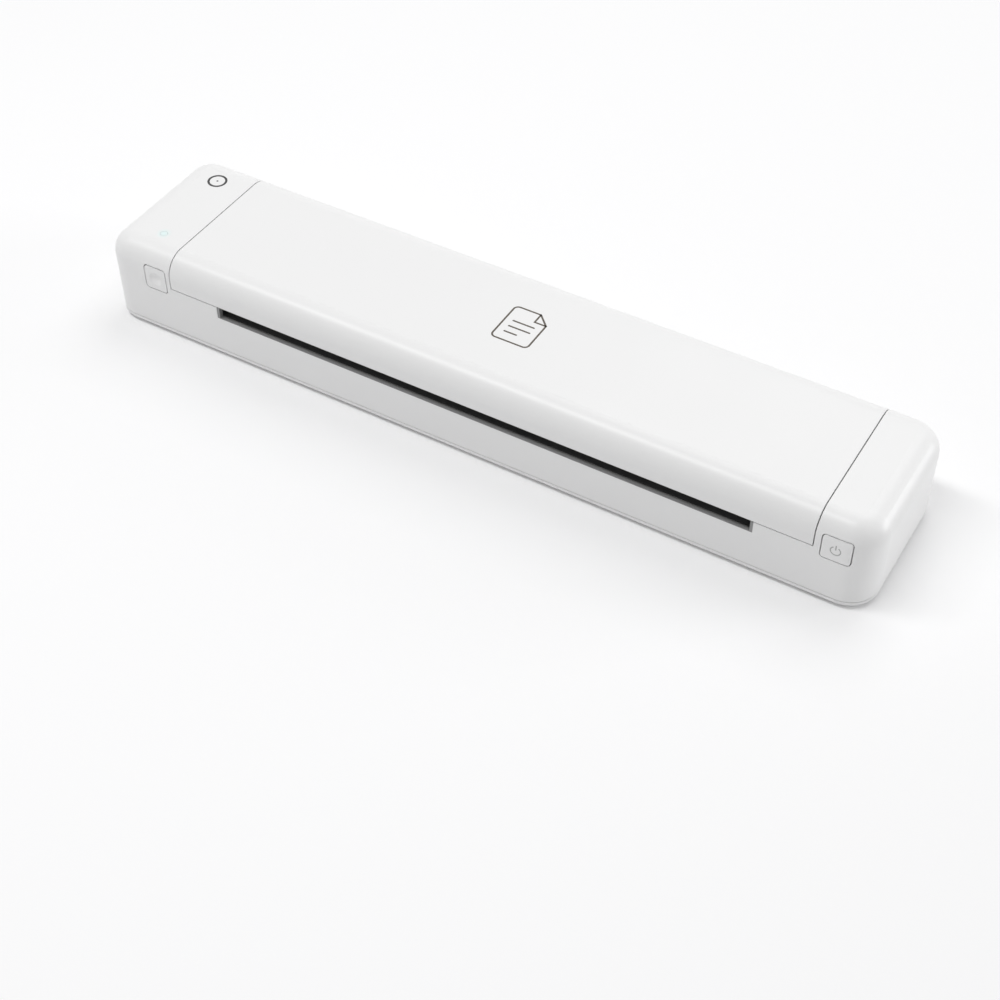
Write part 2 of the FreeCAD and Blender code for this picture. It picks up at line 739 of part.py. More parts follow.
def housing_holes():
    """Everything that is cut through the housing after its ribs and bosses are on."""
    holes = []
    for x0, x1 in ((BULKHEAD_X0 - HINGE_PIN_HOLD, WELL_X0), (WELL_X1, BULKHEAD_X1 + HINGE_PIN_HOLD)):
        holes.append(rod_x(x0 - OVERRUN, x1 + OVERRUN, HINGE_Y, HINGE_Z, HINGE_PIN_R + RUN_FIT))
    for x, y in case_screw_places():
        holes.append(pilot((x, y, FLOOR_TOP), (0, 0, 1), SCREW_LENGTH - WALL + SCREW_HEAD_T))
    for x, y in guide_screw_places():
        holes.append(pilot((x, y, SLOT_SILL_Z - GUIDE_T), (0, 0, -1),
                           GUIDE_SCREW_LENGTH - GUIDE_T - CLEAR))
    for x, y in led_screw_places():
        holes.append(pilot((x, y, LED_BOARD_TOP), (0, 0, 1), LAMP_FLANGE_T))
    front = -HALF_Y - OVERRUN
    behind = -INNER_Y + TOP_R - WALL
    holes.append(button_opening(RELEASE_X0, RELEASE_X1, 0, front, behind))
    holes.append(button_opening(POWER_X0, POWER_X1, 0, front, behind))
    holes.append(rod_z(LAMP_X, LAMP_Y, INNER_TOP - OVERRUN, HEIGHT + OVERRUN, LAMP_R + RUN_FIT))
    holes.append(usb_outline(CLEAR, INNER_Y - OVERRUN, HALF_Y + OVERRUN))
    left_0, left_1 = BULKHEAD_X0 - OVERRUN, WELL_X0 + OVERRUN
    holes.append(rod_x(left_0, left_1, LATCH_Y, LATCH_Z, LATCH_R + CLEAR))
    holes.append(rod_x(left_0, left_1, MOTOR_Y, MOTOR_Z, MOTOR_PILOT_R + RUN_FIT))
    for y, z in motor_ear_places():
        holes.append(rod_x(left_0, left_1, y, z, SCREW_R + RUN_FIT))
    for x0, x1, y in ((left_0, left_1, WIRE_Y),
                      (WELL_X1 - OVERRUN, BULKHEAD_X1 + OVERRUN, SIDE_WIRE_Y)):
        holes.append(box(x0, x1, y - WIRE_HOLE_W / 2, y + WIRE_HOLE_W / 2,
                         BOARD_Z + BOARD_T, BOARD_Z + BOARD_T + WIRE_HOLE_H))
    return holes


def bottom_cover():
    """The shallow tray under the machine, with its lip, foot pockets and screw holes."""
    outer = outer_body()
    beyond = HALF_X + OVERRUN
    edge = SEAM_Z - SEAM_GAP / 2
    tray = outer.common(box(-beyond, beyond, -beyond, beyond, 0, edge))
    tray = tray.cut(rounded_body(WALL, FLOOR_TOP, HEIGHT, 0, 0))
    lip_out = rounded_body(WALL + LIP_FIT, FLOOR_TOP - WALL / 2, FLOOR_TOP + LIP_RISE, 0, 0)
    lip_in = rounded_body(WALL + LIP_FIT + LIP_T, FLOOR_TOP - WALL, FLOOR_TOP + LIP_RISE + WALL, 0, 0)
    lip = lip_out.cut(lip_in)
    keep_clear = [rod_z(x, y, FLOOR_TOP, HEIGHT, BOSS_R + CLEAR) for x, y in wall_boss_places()]
    keep_clear += [rod_z(x, y, FLOOR_TOP, HEIGHT, POST_R + CLEAR) for x, y in post_places()]
    lip = cut(lip, *keep_clear)
    tray = joined(tray, lip)
    holes = []
    for x, y in case_screw_places():
        holes.append(rod_z(x, y, 0, HEIGHT, SCREW_R + RUN_FIT))
        seat = BODY_LOW + SCREW_HEAD_T + RUN_FIT
        holes.append(rod_z(x, y, 0, seat, SCREW_HEAD_R + CLEAR))
    for x, y in foot_places():
        holes.append(rod_z(x, y, 0, BODY_LOW + FOOT_SINK, FOOT_R + RUN_FIT))
    return cut(tray, *holes)


def rubber_feet():
    feet = [rod_z(x, y, 0, BODY_LOW + FOOT_SINK, FOOT_R) for x, y in foot_places()]
    rounded = [foot.makeChamfer(FOOT_SINK / 2, edges_at_z(foot, 0)) for foot in feet]
    return Part.makeCompound(rounded)


def case_screws():
    seat = BODY_LOW + SCREW_HEAD_T + RUN_FIT
    return Part.makeCompound([screw((x, y, seat), (0, 0, 1)) for x, y in case_screw_places()])


def top_cover():
    """The hinged white cover: a shell with end cheeks, a hinge barrel and screw bosses."""
    beyond = HALF_Y + OVERRUN
    x0 = COVER_X0 + PART_GAP / 2
    x1 = COVER_X1 - PART_GAP / 2
    zone = box(x0, x1, -beyond, beyond, COVER_EDGE_Z, HEIGHT + OVERRUN)
    outer = outer_body().common(zone)
    hollow = inner_body().common(box(x0 + CHEEK_T, x1 - CHEEK_T, -beyond, beyond, 0, HEIGHT))
    shell = outer.cut(hollow)
    rear_corner = box(x0, x1, HINGE_Y, beyond, COVER_EDGE_Z, HINGE_Z)
    shell = shell.cut(rear_corner)
    barrel = rod_x(x0, x1, HINGE_Y, HINGE_Z, BARREL_R)
    adds = [barrel]
    for x, y in liner_screw_places():
        adds.append(rod_z(x, y, LINER_TOP, INNER_TOP, BOSS_R))
    for x in shoulder_places():
        adds.append(rod_z(x, PLATEN_Y, shoulder_seat(), INNER_TOP, BOSS_R))
    for x in spring_places():
        adds.append(rod_z(x, PLATEN_Y, SPRING_SEAT_Z, INNER_TOP, HEAD_SPRING_R + HEAD_SPRING_WIRE_R))
        adds.append(rod_z(x, PLATEN_Y, SPRING_SEAT_Z - SEAT_PEG_H, INNER_TOP, SPRING_SEAT_R))
    shell = joined(shell, *adds)
    holes = []
    for a, b in ((x0, x0 + HINGE_PIN_HOLD), (x1 - HINGE_PIN_HOLD, x1)):
        holes.append(rod_x(a - CLEAR, b + CLEAR, HINGE_Y, HINGE_Z, HINGE_PIN_R + RUN_FIT))
    for x, y in liner_screw_places():
        holes.append(pilot((x, y, LINER_TOP), (0, 0, 1), SCREW_LENGTH - LINER_T))
    for x in shoulder_places():
        holes.append(pilot((x, PLATEN_Y, shoulder_seat()), (0, 0, 1), SCREW_LENGTH - LINER_T))
    return cut(shell, *holes)


def shoulder_seat():
    return HEATSINK_TOP + HEAD_TRAVEL + 2 * CLEAR


def hinge_pins():
    pins = []
    for x0, x1 in ((BULKHEAD_X0 - HINGE_PIN_HOLD, COVER_X0 + HINGE_PIN_HOLD),
                   (COVER_X1 - HINGE_PIN_HOLD, BULKHEAD_X1 + HINGE_PIN_HOLD)):
        pins.append(rod_x(x0, x1, HINGE_Y, HINGE_Z, HINGE_PIN_R))
    return Part.makeCompound(pins)


# Chassis and sheet guides
def chassis_frame():
    """A folded steel floor plate whose two ends stand up and carry the platen and the latch."""
    x0 = CHASSIS_X0 - CHASSIS_T
    x1 = CHASSIS_X1 + CHASSIS_T
    nose_y = LATCH_Y - UPRIGHT_NOSE_REACH
    step_z = LATCH_Z - UPRIGHT_STEP
    floor = box(x0, x1, CHASSIS_FRONT, CHASSIS_BACK, FLOOR_TOP, CHASSIS_TOP)
    profile = [(CHASSIS_FRONT, FLOOR_TOP), (UPRIGHT_BACK, FLOOR_TOP),
               (UPRIGHT_BACK, IDLER_Z), (IDLER_Y, UPRIGHT_TOP), (CHASSIS_FRONT, UPRIGHT_TOP),
               (nose_y, LATCH_Z + UPRIGHT_NOSE_RISE), (nose_y, step_z), (CHASSIS_FRONT, step_z)]
    uprights = [plate_x(profile, x0, CHASSIS_X0), plate_x(profile, CHASSIS_X1, x1)]
    standoffs = [rod_z(x, y, CHASSIS_TOP, BOARD_Z, STANDOFF_R) for x, y in board_screw_places()]
    frame = joined(floor, *uprights, *standoffs)
    holes = [rod_x(x0 - OVERRUN, x1 + OVERRUN, PLATEN_Y, PLATEN_Z, BUSH_R + RUN_FIT),
             rod_x(x0 - OVERRUN, x1 + OVERRUN, LATCH_Y, LATCH_Z, LATCH_R + RUN_FIT),
             rod_x(x0 - OVERRUN, CHASSIS_X0 + OVERRUN, IDLER_Y, IDLER_Z, STUD_R + RUN_FIT)]
    for x, y in board_screw_places():
        holes.append(pilot((x, y, BOARD_Z), (0, 0, -1), STANDOFF_H))
    return cut(frame, *holes)


def lower_sheet_guide():
    """The dark plate that the sheet slides on, open over the platen and ribbed underneath."""
    y_edge = INNER_Y - CLEAR
    sill = SLOT_SILL_Z
    ramp_y = y_edge - GUIDE_RAMP
    top = [(-y_edge, sill), (-ramp_y, GUIDE_TOP), (ramp_y, GUIDE_TOP), (y_edge, sill)]
    under = [(y, z - GUIDE_T) for y, z in reversed(top)]
    x0 = CHASSIS_X0 + CLEAR
    x1 = CHASSIS_X1 - CLEAR
    plate = plate_x(top + under, x0, x1)
    opening_y = PLATEN_R + PLATEN_GAP
    opening = box(SLOT_X0, SLOT_X1, PLATEN_Y - opening_y, PLATEN_Y + opening_y,
                  sill - 2 * GUIDE_T, HEIGHT)
    rib_y = PLATEN_Y + opening_y
    rib_low = GUIDE_TOP - GUIDE_T - RIB_DEPTH
    ribs = [box(SLOT_X0, SLOT_X1, rib_y, rib_y + RIB_T, rib_low, GUIDE_TOP - GUIDE_T / 2),
            box(SLOT_X0, SLOT_X1, PLATEN_Y - opening_y - RIB_T, PLATEN_Y - opening_y,
                rib_low, GUIDE_TOP - GUIDE_T)]
    plate = joined(plate, *ribs)
    sensor_hole = box(COVER_SHIFT - SENSOR_SIZE[0] / 2 - CLEAR,
                      COVER_SHIFT + SENSOR_SIZE[0] / 2 + CLEAR,
                      SENSOR_Y - SENSOR_SIZE[1] / 2 - CLEAR,
                      SENSOR_Y + SENSOR_SIZE[1] / 2 + CLEAR, SLOT_SILL_Z - WALL, HEIGHT)
    holes = [opening, sensor_hole]
    for x, y in guide_screw_places():
        holes.append(rod_z(x, y, 0, HEIGHT, SCREW_R + RUN_FIT))
        holes.append(rod_z(x, y, sill, HEIGHT, SCREW_HEAD_R + CLEAR))
    return cut(plate, *holes)


def guide_screws():
    screws = [screw((x, y, SLOT_SILL_Z), (0, 0, -1), GUIDE_SCREW_LENGTH - RUN_FIT)
              for x, y in guide_screw_places()]
    return Part.makeCompound(screws)


def paper_sensor():
    w, d, h = SENSOR_SIZE
    top = GUIDE_TOP - CLEAR
    body = box(COVER_SHIFT - w / 2, COVER_SHIFT + w / 2, SENSOR_Y - d / 2, SENSOR_Y + d / 2,
               top - h, top)
    window_r = d / 5
    windows = [rod_z(COVER_SHIFT + side * w / 4, SENSOR_Y, top - CLEAR, HEIGHT, window_r)
               for side in (-1, 1)]
    return cut(body, *windows)


def cover_liner():
    """The dark plate that closes the cover from below, with ribs that hold the sheet down."""
    x0 = COVER_X0 + PART_GAP / 2 + CHEEK_T + CLEAR
    x1 = COVER_X1 - PART_GAP / 2 - CHEEK_T - CLEAR
    y0 = -INNER_Y + CLEAR
    y1 = HINGE_Y - BARREL_R - CLEAR
    plate = box(x0, x1, y0, y1, LINER_Z, LINER_TOP)
    head_y0 = HEAD_Y0 - HEAD_OPEN_GAP
    head_y1 = HEAD_Y1 + HEAD_OPEN_GAP
    adds = []
    step = SLOT_LENGTH / LINER_RIB_COUNT
    for index in range(LINER_RIB_COUNT):
        x = SLOT_X0 + step * (index + 1 / 2)
        for a, b in ((y0, head_y0), (head_y1, y1)):
            adds.append(box(x - RIB_T / 2, x + RIB_T / 2, a, b, LINER_RIB_LOW, LINER_Z))
    tab_room = TAB_LENGTH + HEAD_OPEN_GAP
    holes = [box(HEATSINK_X0 - tab_room, HEATSINK_X1 + tab_room, head_y0, head_y1,
                 LINER_Z - OVERRUN, HEIGHT),
             box(HEATSINK_X1, x1 + OVERRUN, HEAD_Y1 - HEAD_BOARD_W - HEAD_OPEN_GAP, head_y1,
                 LINER_Z - OVERRUN, HEIGHT),
             box(x1 - RIBBON_WINDOW, x1 + OVERRUN, y1 - RIBBON_WINDOW, y1 + OVERRUN,
                 LINER_Z - OVERRUN, HEIGHT)]
    for x, y in liner_screw_places():
        holes.append(rod_z(x, y, 0, HEIGHT, SCREW_R + RUN_FIT))
        holes.append(rod_z(x, y, 0, LINER_Z, SCREW_HEAD_R + CLEAR))
    return cut(joined(plate, *adds), *holes)


def liner_screws():
    screws = [screw((x, y, LINER_Z), (0, 0, 1)) for x, y in liner_screw_places()]
    return Part.makeCompound(screws)


# Platen, gears and motor
def platen_bushes():
    """Two flanged bearings for the platen's journals, pushed into the chassis uprights."""
    bushes = []
    for plate_0, plate_1, side in ((UPRIGHT_X0, CHASSIS_X0, -1),
                                   (CHASSIS_X1, CHASSIS_X1 + CHASSIS_T, 1)):
        sleeve = rod_x(plate_0, plate_1, PLATEN_Y, PLATEN_Z, BUSH_R)
        face = plate_0 if side < 0 else plate_1
        f0, f1 = sorted((face, face + side * BUSH_FLANGE_T))
        bush = joined(sleeve, rod_x(f0, f1, PLATEN_Y, PLATEN_Z, BUSH_FLANGE_R))
        bore = rod_x(plate_0 - OVERRUN, plate_1 + OVERRUN, PLATEN_Y, PLATEN_Z, JOURNAL_R + RUN_FIT)
        bushes.append(cut(bush, bore))
    return Part.makeCompound(bushes)


def platen_shaft():
    core = rod_x(PLATEN_X0, PLATEN_X1, PLATEN_Y, PLATEN_Z, PLATEN_CORE_R)
    end = CHASSIS_X1 + CHASSIS_T + BUSH_FLANGE_T + PART_GAP
    journal = rod_x(PLATEN_GEAR_X0, end, PLATEN_Y, PLATEN_Z, JOURNAL_R)
    return joined(core, journal)


def platen_roller():
    sleeve = rod_x(PLATEN_X0, PLATEN_X1, PLATEN_Y, PLATEN_Z, PLATEN_R)
    bore = rod_x(PLATEN_X0 - OVERRUN, PLATEN_X1 + OVERRUN, PLATEN_Y, PLATEN_Z, PLATEN_CORE_R)
    return cut(sleeve, bore)


def platen_gear():
    towards = angle_from(PLATEN_Y, PLATEN_Z, IDLER_Y, IDLER_Z)
    gap_at = towards + math.pi / PLATEN_TEETH
    return gear(PLATEN_TEETH, PLATEN_GEAR_X0, PLATEN_GEAR_X1, PLATEN_Y, PLATEN_Z, gap_at, JOURNAL_R)


def idler_gear():
    """The compound gear between the motor pinion and the platen gear."""
    small = gear(SMALL_TEETH, LARGE_GEAR_X1, PLATEN_GEAR_X1, IDLER_Y, IDLER_Z,
                 angle_from(IDLER_Y, IDLER_Z, PLATEN_Y, PLATEN_Z), STUD_R + RUN_FIT)
    large = gear(LARGE_TEETH, LARGE_GEAR_X0, LARGE_GEAR_X1, IDLER_Y, IDLER_Z,
                 angle_from(IDLER_Y, IDLER_Z, MOTOR_Y, MOTOR_Z), STUD_R + RUN_FIT)
    return small.fuse(large)


def idler_stud():
    """The fixed steel stud that the idler turns on, with its shoulder and retaining head."""
    shoulder = rod_x(PLATEN_GEAR_X1 + CLEAR, UPRIGHT_X0, IDLER_Y, IDLER_Z, STUD_HEAD_R)
    pin = rod_x(LARGE_GEAR_X0 - CLEAR, CHASSIS_X0, IDLER_Y, IDLER_Z, STUD_R)
    head = rod_x(LARGE_GEAR_X0 - CLEAR - STUD_HEAD_T, LARGE_GEAR_X0 - CLEAR,
                 IDLER_Y, IDLER_Z, STUD_HEAD_R)
    return joined(pin, shoulder, head)


def drive_motor():
    """The stepper motor's can, flange, ears and pilot, screwed to the left bulkhead."""
    face = BULKHEAD_X0
    flange_0 = face - MOTOR_FLANGE_T
    can = rod_x(flange_0 - MOTOR_LENGTH, flange_0, MOTOR_Y, MOTOR_Z, MOTOR_R)
    can = can.makeFillet(MOTOR_CAP_T / 2, edges_where(
        can, lambda b: b.XMax < flange_0 - MOTOR_LENGTH + RUN_FIT))
    ears = box(flange_0, face, MOTOR_Y - MOTOR_EAR, MOTOR_Y + MOTOR_EAR,
               MOTOR_Z - MOTOR_EAR_R, MOTOR_Z + MOTOR_EAR_R)
    ears.rotate(V(0, MOTOR_Y, MOTOR_Z), X_AXIS, MOTOR_EAR_DEG)
    ends = [rod_x(flange_0, face, y, z, MOTOR_EAR_R) for y, z in motor_ear_places()]
    disc = rod_x(flange_0, face, MOTOR_Y, MOTOR_Z, MOTOR_R)
    pilot_ring = rod_x(face, face + MOTOR_PILOT_T, MOTOR_Y, MOTOR_Z, MOTOR_PILOT_R)
    cap = rod_x(flange_0 - MOTOR_LENGTH - MOTOR_CAP_T, flange_0 - MOTOR_LENGTH,
                MOTOR_Y, MOTOR_Z, MOTOR_CAP_R)
    body = joined(can, ears, disc, pilot_ring, cap, *ends)
    bore_x0 = flange_0 - MOTOR_LENGTH / 2
    holes = [rod_x(bore_x0, face + OVERRUN, MOTOR_Y, MOTOR_Z, MOTOR_SHAFT_R + RUN_FIT)]
    for y, z in motor_ear_places():
        holes.append(rod_x(flange_0 - OVERRUN, face + OVERRUN, y, z, SCREW_R + RUN_FIT))
    return cut(body, *holes)


def motor_screws():
    flange_0 = BULKHEAD_X0 - MOTOR_FLANGE_T
    return Part.makeCompound([
        screw((flange_0, y, z), (1, 0, 0), MOTOR_FLANGE_T + BULKHEAD_T)
        for y, z in motor_ear_places()])


def motor_shaft():
    inside = BULKHEAD_X0 - MOTOR_FLANGE_T - MOTOR_LENGTH / 2 + CLEAR
    return rod_x(inside, LARGE_GEAR_X1, MOTOR_Y, MOTOR_Z, MOTOR_SHAFT_R)


def motor_pinion():
    towards = angle_from(MOTOR_Y, MOTOR_Z, IDLER_Y, IDLER_Z)
    gap_at = towards + math.pi / PINION_TEETH
    x0 = max(LARGE_GEAR_X0 - CLEAR, BULKHEAD_X0 + MOTOR_PILOT_T + CLEAR)
    return gear(PINION_TEETH, x0, LARGE_GEAR_X1, MOTOR_Y, MOTOR_Z, gap_at, MOTOR_SHAFT_R)


# Latch
def latch_shaft():
    x1 = CHASSIS_X1 + CHASSIS_T + PART_GAP + HOOK_W + CLEAR
    x0 = BULKHEAD_X0 - PART_GAP - HOOK_W - CLEAR
    return rod_x(x0, x1, LATCH_Y, LATCH_Z, LATCH_R)


def hook_starts():
    """The left faces of the two hooks, just outside the chassis uprights."""
    return [UPRIGHT_X0 - PART_GAP - HOOK_W, CHASSIS_X1 + CHASSIS_T + PART_GAP]


def keeper_inner_y():
    """The rear face of a keeper's upright leg."""
    return -INNER_Y + 2 * CLEAR + KEEPER_T


def latch_hooks():
    hooks = []
    nose_tip = keeper_inner_y() + CLEAR
    nose_z = LATCH_Z + HOOK_RISE
    back = LATCH_FACE_Y + LATCH_ARM_T
    profile = [(LATCH_FACE_Y, LATCH_Z), (back, LATCH_Z), (back, nose_z + NOSE_T / 2),
               (LATCH_FACE_Y, nose_z + NOSE_T), (nose_tip, nose_z + NOSE_T / 3),
               (nose_tip, nose_z), (LATCH_FACE_Y, nose_z)]
    for x0 in hook_starts():
        arm = plate_x(profile, x0, x0 + HOOK_W)
        hub = rod_x(x0, x0 + HOOK_W, LATCH_Y, LATCH_Z, LATCH_HUB_R)
        bore = rod_x(x0 - OVERRUN, x0 + HOOK_W + OVERRUN, LATCH_Y, LATCH_Z, LATCH_R)
        hooks.append(cut(joined(arm, hub), bore))
    return Part.makeCompound(hooks)


def latch_keepers():
    """Steel strips under the cover whose lower lips the hooks hold down."""
    keepers = []
    leg_back = keeper_inner_y()
    leg_front = leg_back - KEEPER_T
    lip_top = LATCH_Z + HOOK_RISE - CLEAR
    lip_tip = leg_back + CLEAR + LATCH_BITE
    flange_back = HEAD_Y0 - HEAD_OPEN_GAP - CLEAR
    profile = [(leg_front, lip_top - KEEPER_T), (lip_tip, lip_top - KEEPER_T), (lip_tip, lip_top),
               (leg_back, lip_top), (leg_back, LINER_Z - KEEPER_T),
               (flange_back, LINER_Z - KEEPER_T), (flange_back, LINER_Z), (leg_front, LINER_Z)]
    for x0 in hook_starts():
        middle = x0 + HOOK_W / 2
        keepers.append(plate_x(profile, middle - KEEPER_W / 2, middle + KEEPER_W / 2))
    return Part.makeCompound(keepers)


def latch_lever():
    """The lever on the latch shaft that the release button pushes."""
    x1 = BULKHEAD_X0 - PART_GAP
    x0 = x1 - HOOK_W
    arm = box(x0, x1, LATCH_FACE_Y, LATCH_FACE_Y + LATCH_ARM_T, LATCH_Z, LATCH_Z + LEVER_RISE)
    hub = rod_x(x0, x1, LATCH_Y, LATCH_Z, LATCH_HUB_R)
    bore = rod_x(x0 - OVERRUN, x1 + OVERRUN, LATCH_Y, LATCH_Z, LATCH_R)
    return cut(joined(arm, hub), bore)


# Buttons
def button(x0, x1, flange_x0, flange_x1):
    """A cap that follows the body's outer face, with a flange that keeps it in the wall."""
    front = -HALF_Y - OVERRUN
    cap = button_opening(x0, x1, BUTTON_GAP, front, BUTTON_BACK).common(outer_body())
    flange_y = -INNER_Y + CLEAR
    flange = box(flange_x0, flange_x1, flange_y, flange_y + BUTTON_FLANGE_T,
                 BUTTON_LOW - BUTTON_FLANGE, BUTTON_HIGH - BUTTON_GAP)
    flange = flange.common(inner_body(WALL + CLEAR))
    return joined(cap, flange)


def finger_dimple(x):
    """The ball that presses a shallow dish into a button's front face."""
    ball_r = (DIMPLE_R ** 2 + DIMPLE_DEPTH ** 2) / (2 * DIMPLE_DEPTH)
    return Part.makeSphere(ball_r, V(x, -HALF_Y + DIMPLE_DEPTH - ball_r, BUTTON_MID_Z))


def release_button():
    body = button(RELEASE_X0, RELEASE_X1, RELEASE_X0 - BUTTON_FLANGE, RELEASE_X1 - BUTTON_GAP)
    body = body.cut(finger_dimple((RELEASE_X0 + RELEASE_X1) / 2))
    x1 = BULKHEAD_X0 - PART_GAP
    push_z = LATCH_Z + PUSH_RISE
    nub = box(x1 - HOOK_W, x1, BUTTON_BACK, LATCH_FACE_Y - CLEAR, push_z, push_z + PUSH_NUB)
    peg = rod_y(spring_x(), BUTTON_BACK, BUTTON_BACK + SEAT_PEG_H, BUTTON_MID_Z,
                BUTTON_SPRING_R - 2 * BUTTON_SPRING_WIRE_R)
    return joined(body, nub, peg)


def spring_x():
    return RELEASE_X0 + BUTTON_GAP + BUTTON_SPRING_R + 2 * BUTTON_SPRING_WIRE_R


def release_spring():
    """The coil that pushes the release button out, from the rib to the button's back."""
    length = RIB_Y0 - BUTTON_BACK
    coil = coil_spring(BUTTON_SPRING_R, BUTTON_SPRING_WIRE_R, BUTTON_SPRING_TURNS, length)
    coil.Placement = FreeCAD.Placement(V(spring_x(), BUTTON_BACK, BUTTON_MID_Z),
                                       FreeCAD.Rotation(Z_AXIS, Y_AXIS))
    return coil


def power_button():
    return button(POWER_X0, POWER_X1, POWER_X0 - BUTTON_GAP, POWER_X1 + BUTTON_FLANGE)


def power_mid_x():
    return (POWER_X0 + POWER_X1) / 2


def switch_plunger():
    return rod_y(power_mid_x(), BUTTON_BACK, SWITCH_MOUTH_Y + PLUNGER_BORE / 2, BUTTON_MID_Z, PLUNGER_R)


def power_switch():
    half = SWITCH_W / 2
    body = box(power_mid_x() - half, power_mid_x() + half, SWITCH_MOUTH_Y, SWITCH_BACK_Y,
               BUTTON_MID_Z - half, BUTTON_MID_Z + half)
    bore = rod_y(power_mid_x(), SWITCH_MOUTH_Y - OVERRUN, SWITCH_MOUTH_Y + PLUNGER_BORE,
                 BUTTON_MID_Z, PLUNGER_R + RUN_FIT)
    return cut(body, bore)


def switch_board():
    x0 = BULKHEAD_X1 + CLEAR
    z1 = BUTTON_MID_Z + SWITCH_BOARD_H / 2 - BOARD_T
    return box(x0, x0 + SWITCH_BOARD_W, SWITCH_BACK_Y, SWITCH_BACK_Y + BOARD_T,
               z1 - SWITCH_BOARD_H, z1)


def switch_board_rail():
    """A rail on the right bulkhead that the upright switch board slides into."""
    rail_y = SWITCH_BACK_Y + BOARD_T
    z1 = BUTTON_MID_Z + SWITCH_BOARD_H / 2 - BOARD_T
    return box(WELL_X1, BULKHEAD_X1 + SWITCH_BOARD_W / 2, rail_y, rail_y + RIB_T,
               z1 - SWITCH_BOARD_H, z1)


# Status lamp
def led_board_box():
    w, d = LED_BOARD
    z1 = LED_BOARD_TOP
    return (LAMP_X - w / 2, LAMP_X + w / 2, LAMP_Y - d / 3, LAMP_Y + 2 * d / 3, z1 - BOARD_T, z1)


def led_screw_places():
    x0, x1, _, y1 = led_board_box()[:4]
    y = y1 - BOSS_R
    return [(x0 + BOSS_R, y), (x1 - BOSS_R, y)]


def led_board():
    holes = [rod_z(x, y, 0, HEIGHT, SCREW_R + RUN_FIT) for x, y in led_screw_places()]
    return cut(box(*led_board_box()), *holes)


def status_led():
    w, d, h = LED_SIZE
    return box(LAMP_X - w / 2, LAMP_X + w / 2, LAMP_Y - d / 2, LAMP_Y + d / 2,
               LED_BOARD_TOP, LED_BOARD_TOP + h)


def light_pipe():
    low = LED_BOARD_TOP + LED_SIZE[2]
    flange = rod_z(LAMP_X, LAMP_Y, low, low + LAMP_FLANGE_T, LAMP_FLANGE_R)
    return joined(flange, rod_z(LAMP_X, LAMP_Y, low, HEIGHT, LAMP_R))


# Thermal head
def heat_sink():
    """The aluminium bar that carries the head, with an end tab for each shoulder screw."""
    bar = box(HEATSINK_X0, HEATSINK_X1, HEAD_Y0, HEAD_Y1, HEATSINK_Z, HEATSINK_TOP)
    tabs = box(HEATSINK_X0 - TAB_LENGTH, HEATSINK_X1 + TAB_LENGTH,
               PLATEN_Y - TAB_WIDTH / 2, PLATEN_Y + TAB_WIDTH / 2,
               HEATSINK_TOP - TAB_T, HEATSINK_TOP)
    holes = [rod_z(x, PLATEN_Y, 0, HEIGHT, SHOULDER_R + RUN_FIT) for x in shoulder_places()]
    return cut(joined(bar, tabs), *holes)


def thermal_head():
    """The ceramic strip, with its slightly raised line of heating points over the platen."""
    strip = box(PLATEN_X0, PLATEN_X1, PLATEN_Y - CERAMIC_FRONT, PLATEN_Y + CERAMIC_BACK,
                HEAD_Z + HEAD_GAP, HEATSINK_Z)
    half_w = HEAT_LINE_W / 2
    line = box(PLATEN_X0, PLATEN_X1, PLATEN_Y - half_w, PLATEN_Y + half_w, HEAD_Z, HEATSINK_Z)
    return joined(strip, line)


def driver_cover():
    y0 = PLATEN_Y + CERAMIC_BACK + CLEAR
    return box(PLATEN_X0, PLATEN_X1, y0, y0 + DRIVER_W, HEATSINK_Z - DRIVER_T, HEATSINK_Z)


def head_board():
    x0 = HEAD_BOARD_X1 - HEAD_BOARD_LENGTH
    return box(x0, HEAD_BOARD_X1, HEAD_Y1 - HEAD_BOARD_W, HEAD_Y1,
               HEATSINK_TOP, HEATSINK_TOP + BOARD_T)


def head_connector():
    h, d = RIBBON_PLUG
    z0 = HEATSINK_TOP + BOARD_T
    body = box(RIBBON_X0 - CLEAR, RIBBON_X1 + CLEAR, HEAD_Y1 - d, HEAD_Y1, z0, z0 + h)
    mouth = box(RIBBON_X0 - RUN_FIT, RIBBON_X1 + RUN_FIT, HEAD_Y1 - d / 2, HEAD_Y1 + OVERRUN,
                z0 + h / 2 - RIBBON_T / 2 - RUN_FIT, z0 + h / 2 + RIBBON_T / 2 + RUN_FIT)
    return cut(body, mouth)


def shoulder_screws():
    """The two screws that the head hangs on and slides up and down."""
    screws = []
    for x in shoulder_places():
        low = HEATSINK_TOP - TAB_T - RUN_FIT
        head = rod_z(x, PLATEN_Y, low - SHOULDER_HEAD_T, low, SHOULDER_HEAD_R)
        neck = rod_z(x, PLATEN_Y, low, shoulder_seat(), SHOULDER_R)
        thread = rod_z(x, PLATEN_Y, low, shoulder_seat() + SCREW_LENGTH - LINER_T, SCREW_R)
        slot = box(x - SHOULDER_HEAD_R, x + SHOULDER_HEAD_R, PLATEN_Y - CROSS_W / 2,
                   PLATEN_Y + CROSS_W / 2, low - 2 * SHOULDER_HEAD_T, low - SHOULDER_HEAD_T / 2)
        screws.append(cut(joined(head, neck, thread), slot))
    return Part.makeCompound(screws)


def head_springs():
    springs = []
    for x in spring_places():
        coil = coil_spring(HEAD_SPRING_R, HEAD_SPRING_WIRE_R, HEAD_SPRING_TURNS, HEAD_SPRING_LENGTH)
        coil.translate(V(x, PLATEN_Y, HEATSINK_TOP))
        springs.append(coil)
    return Part.makeCompound(springs)


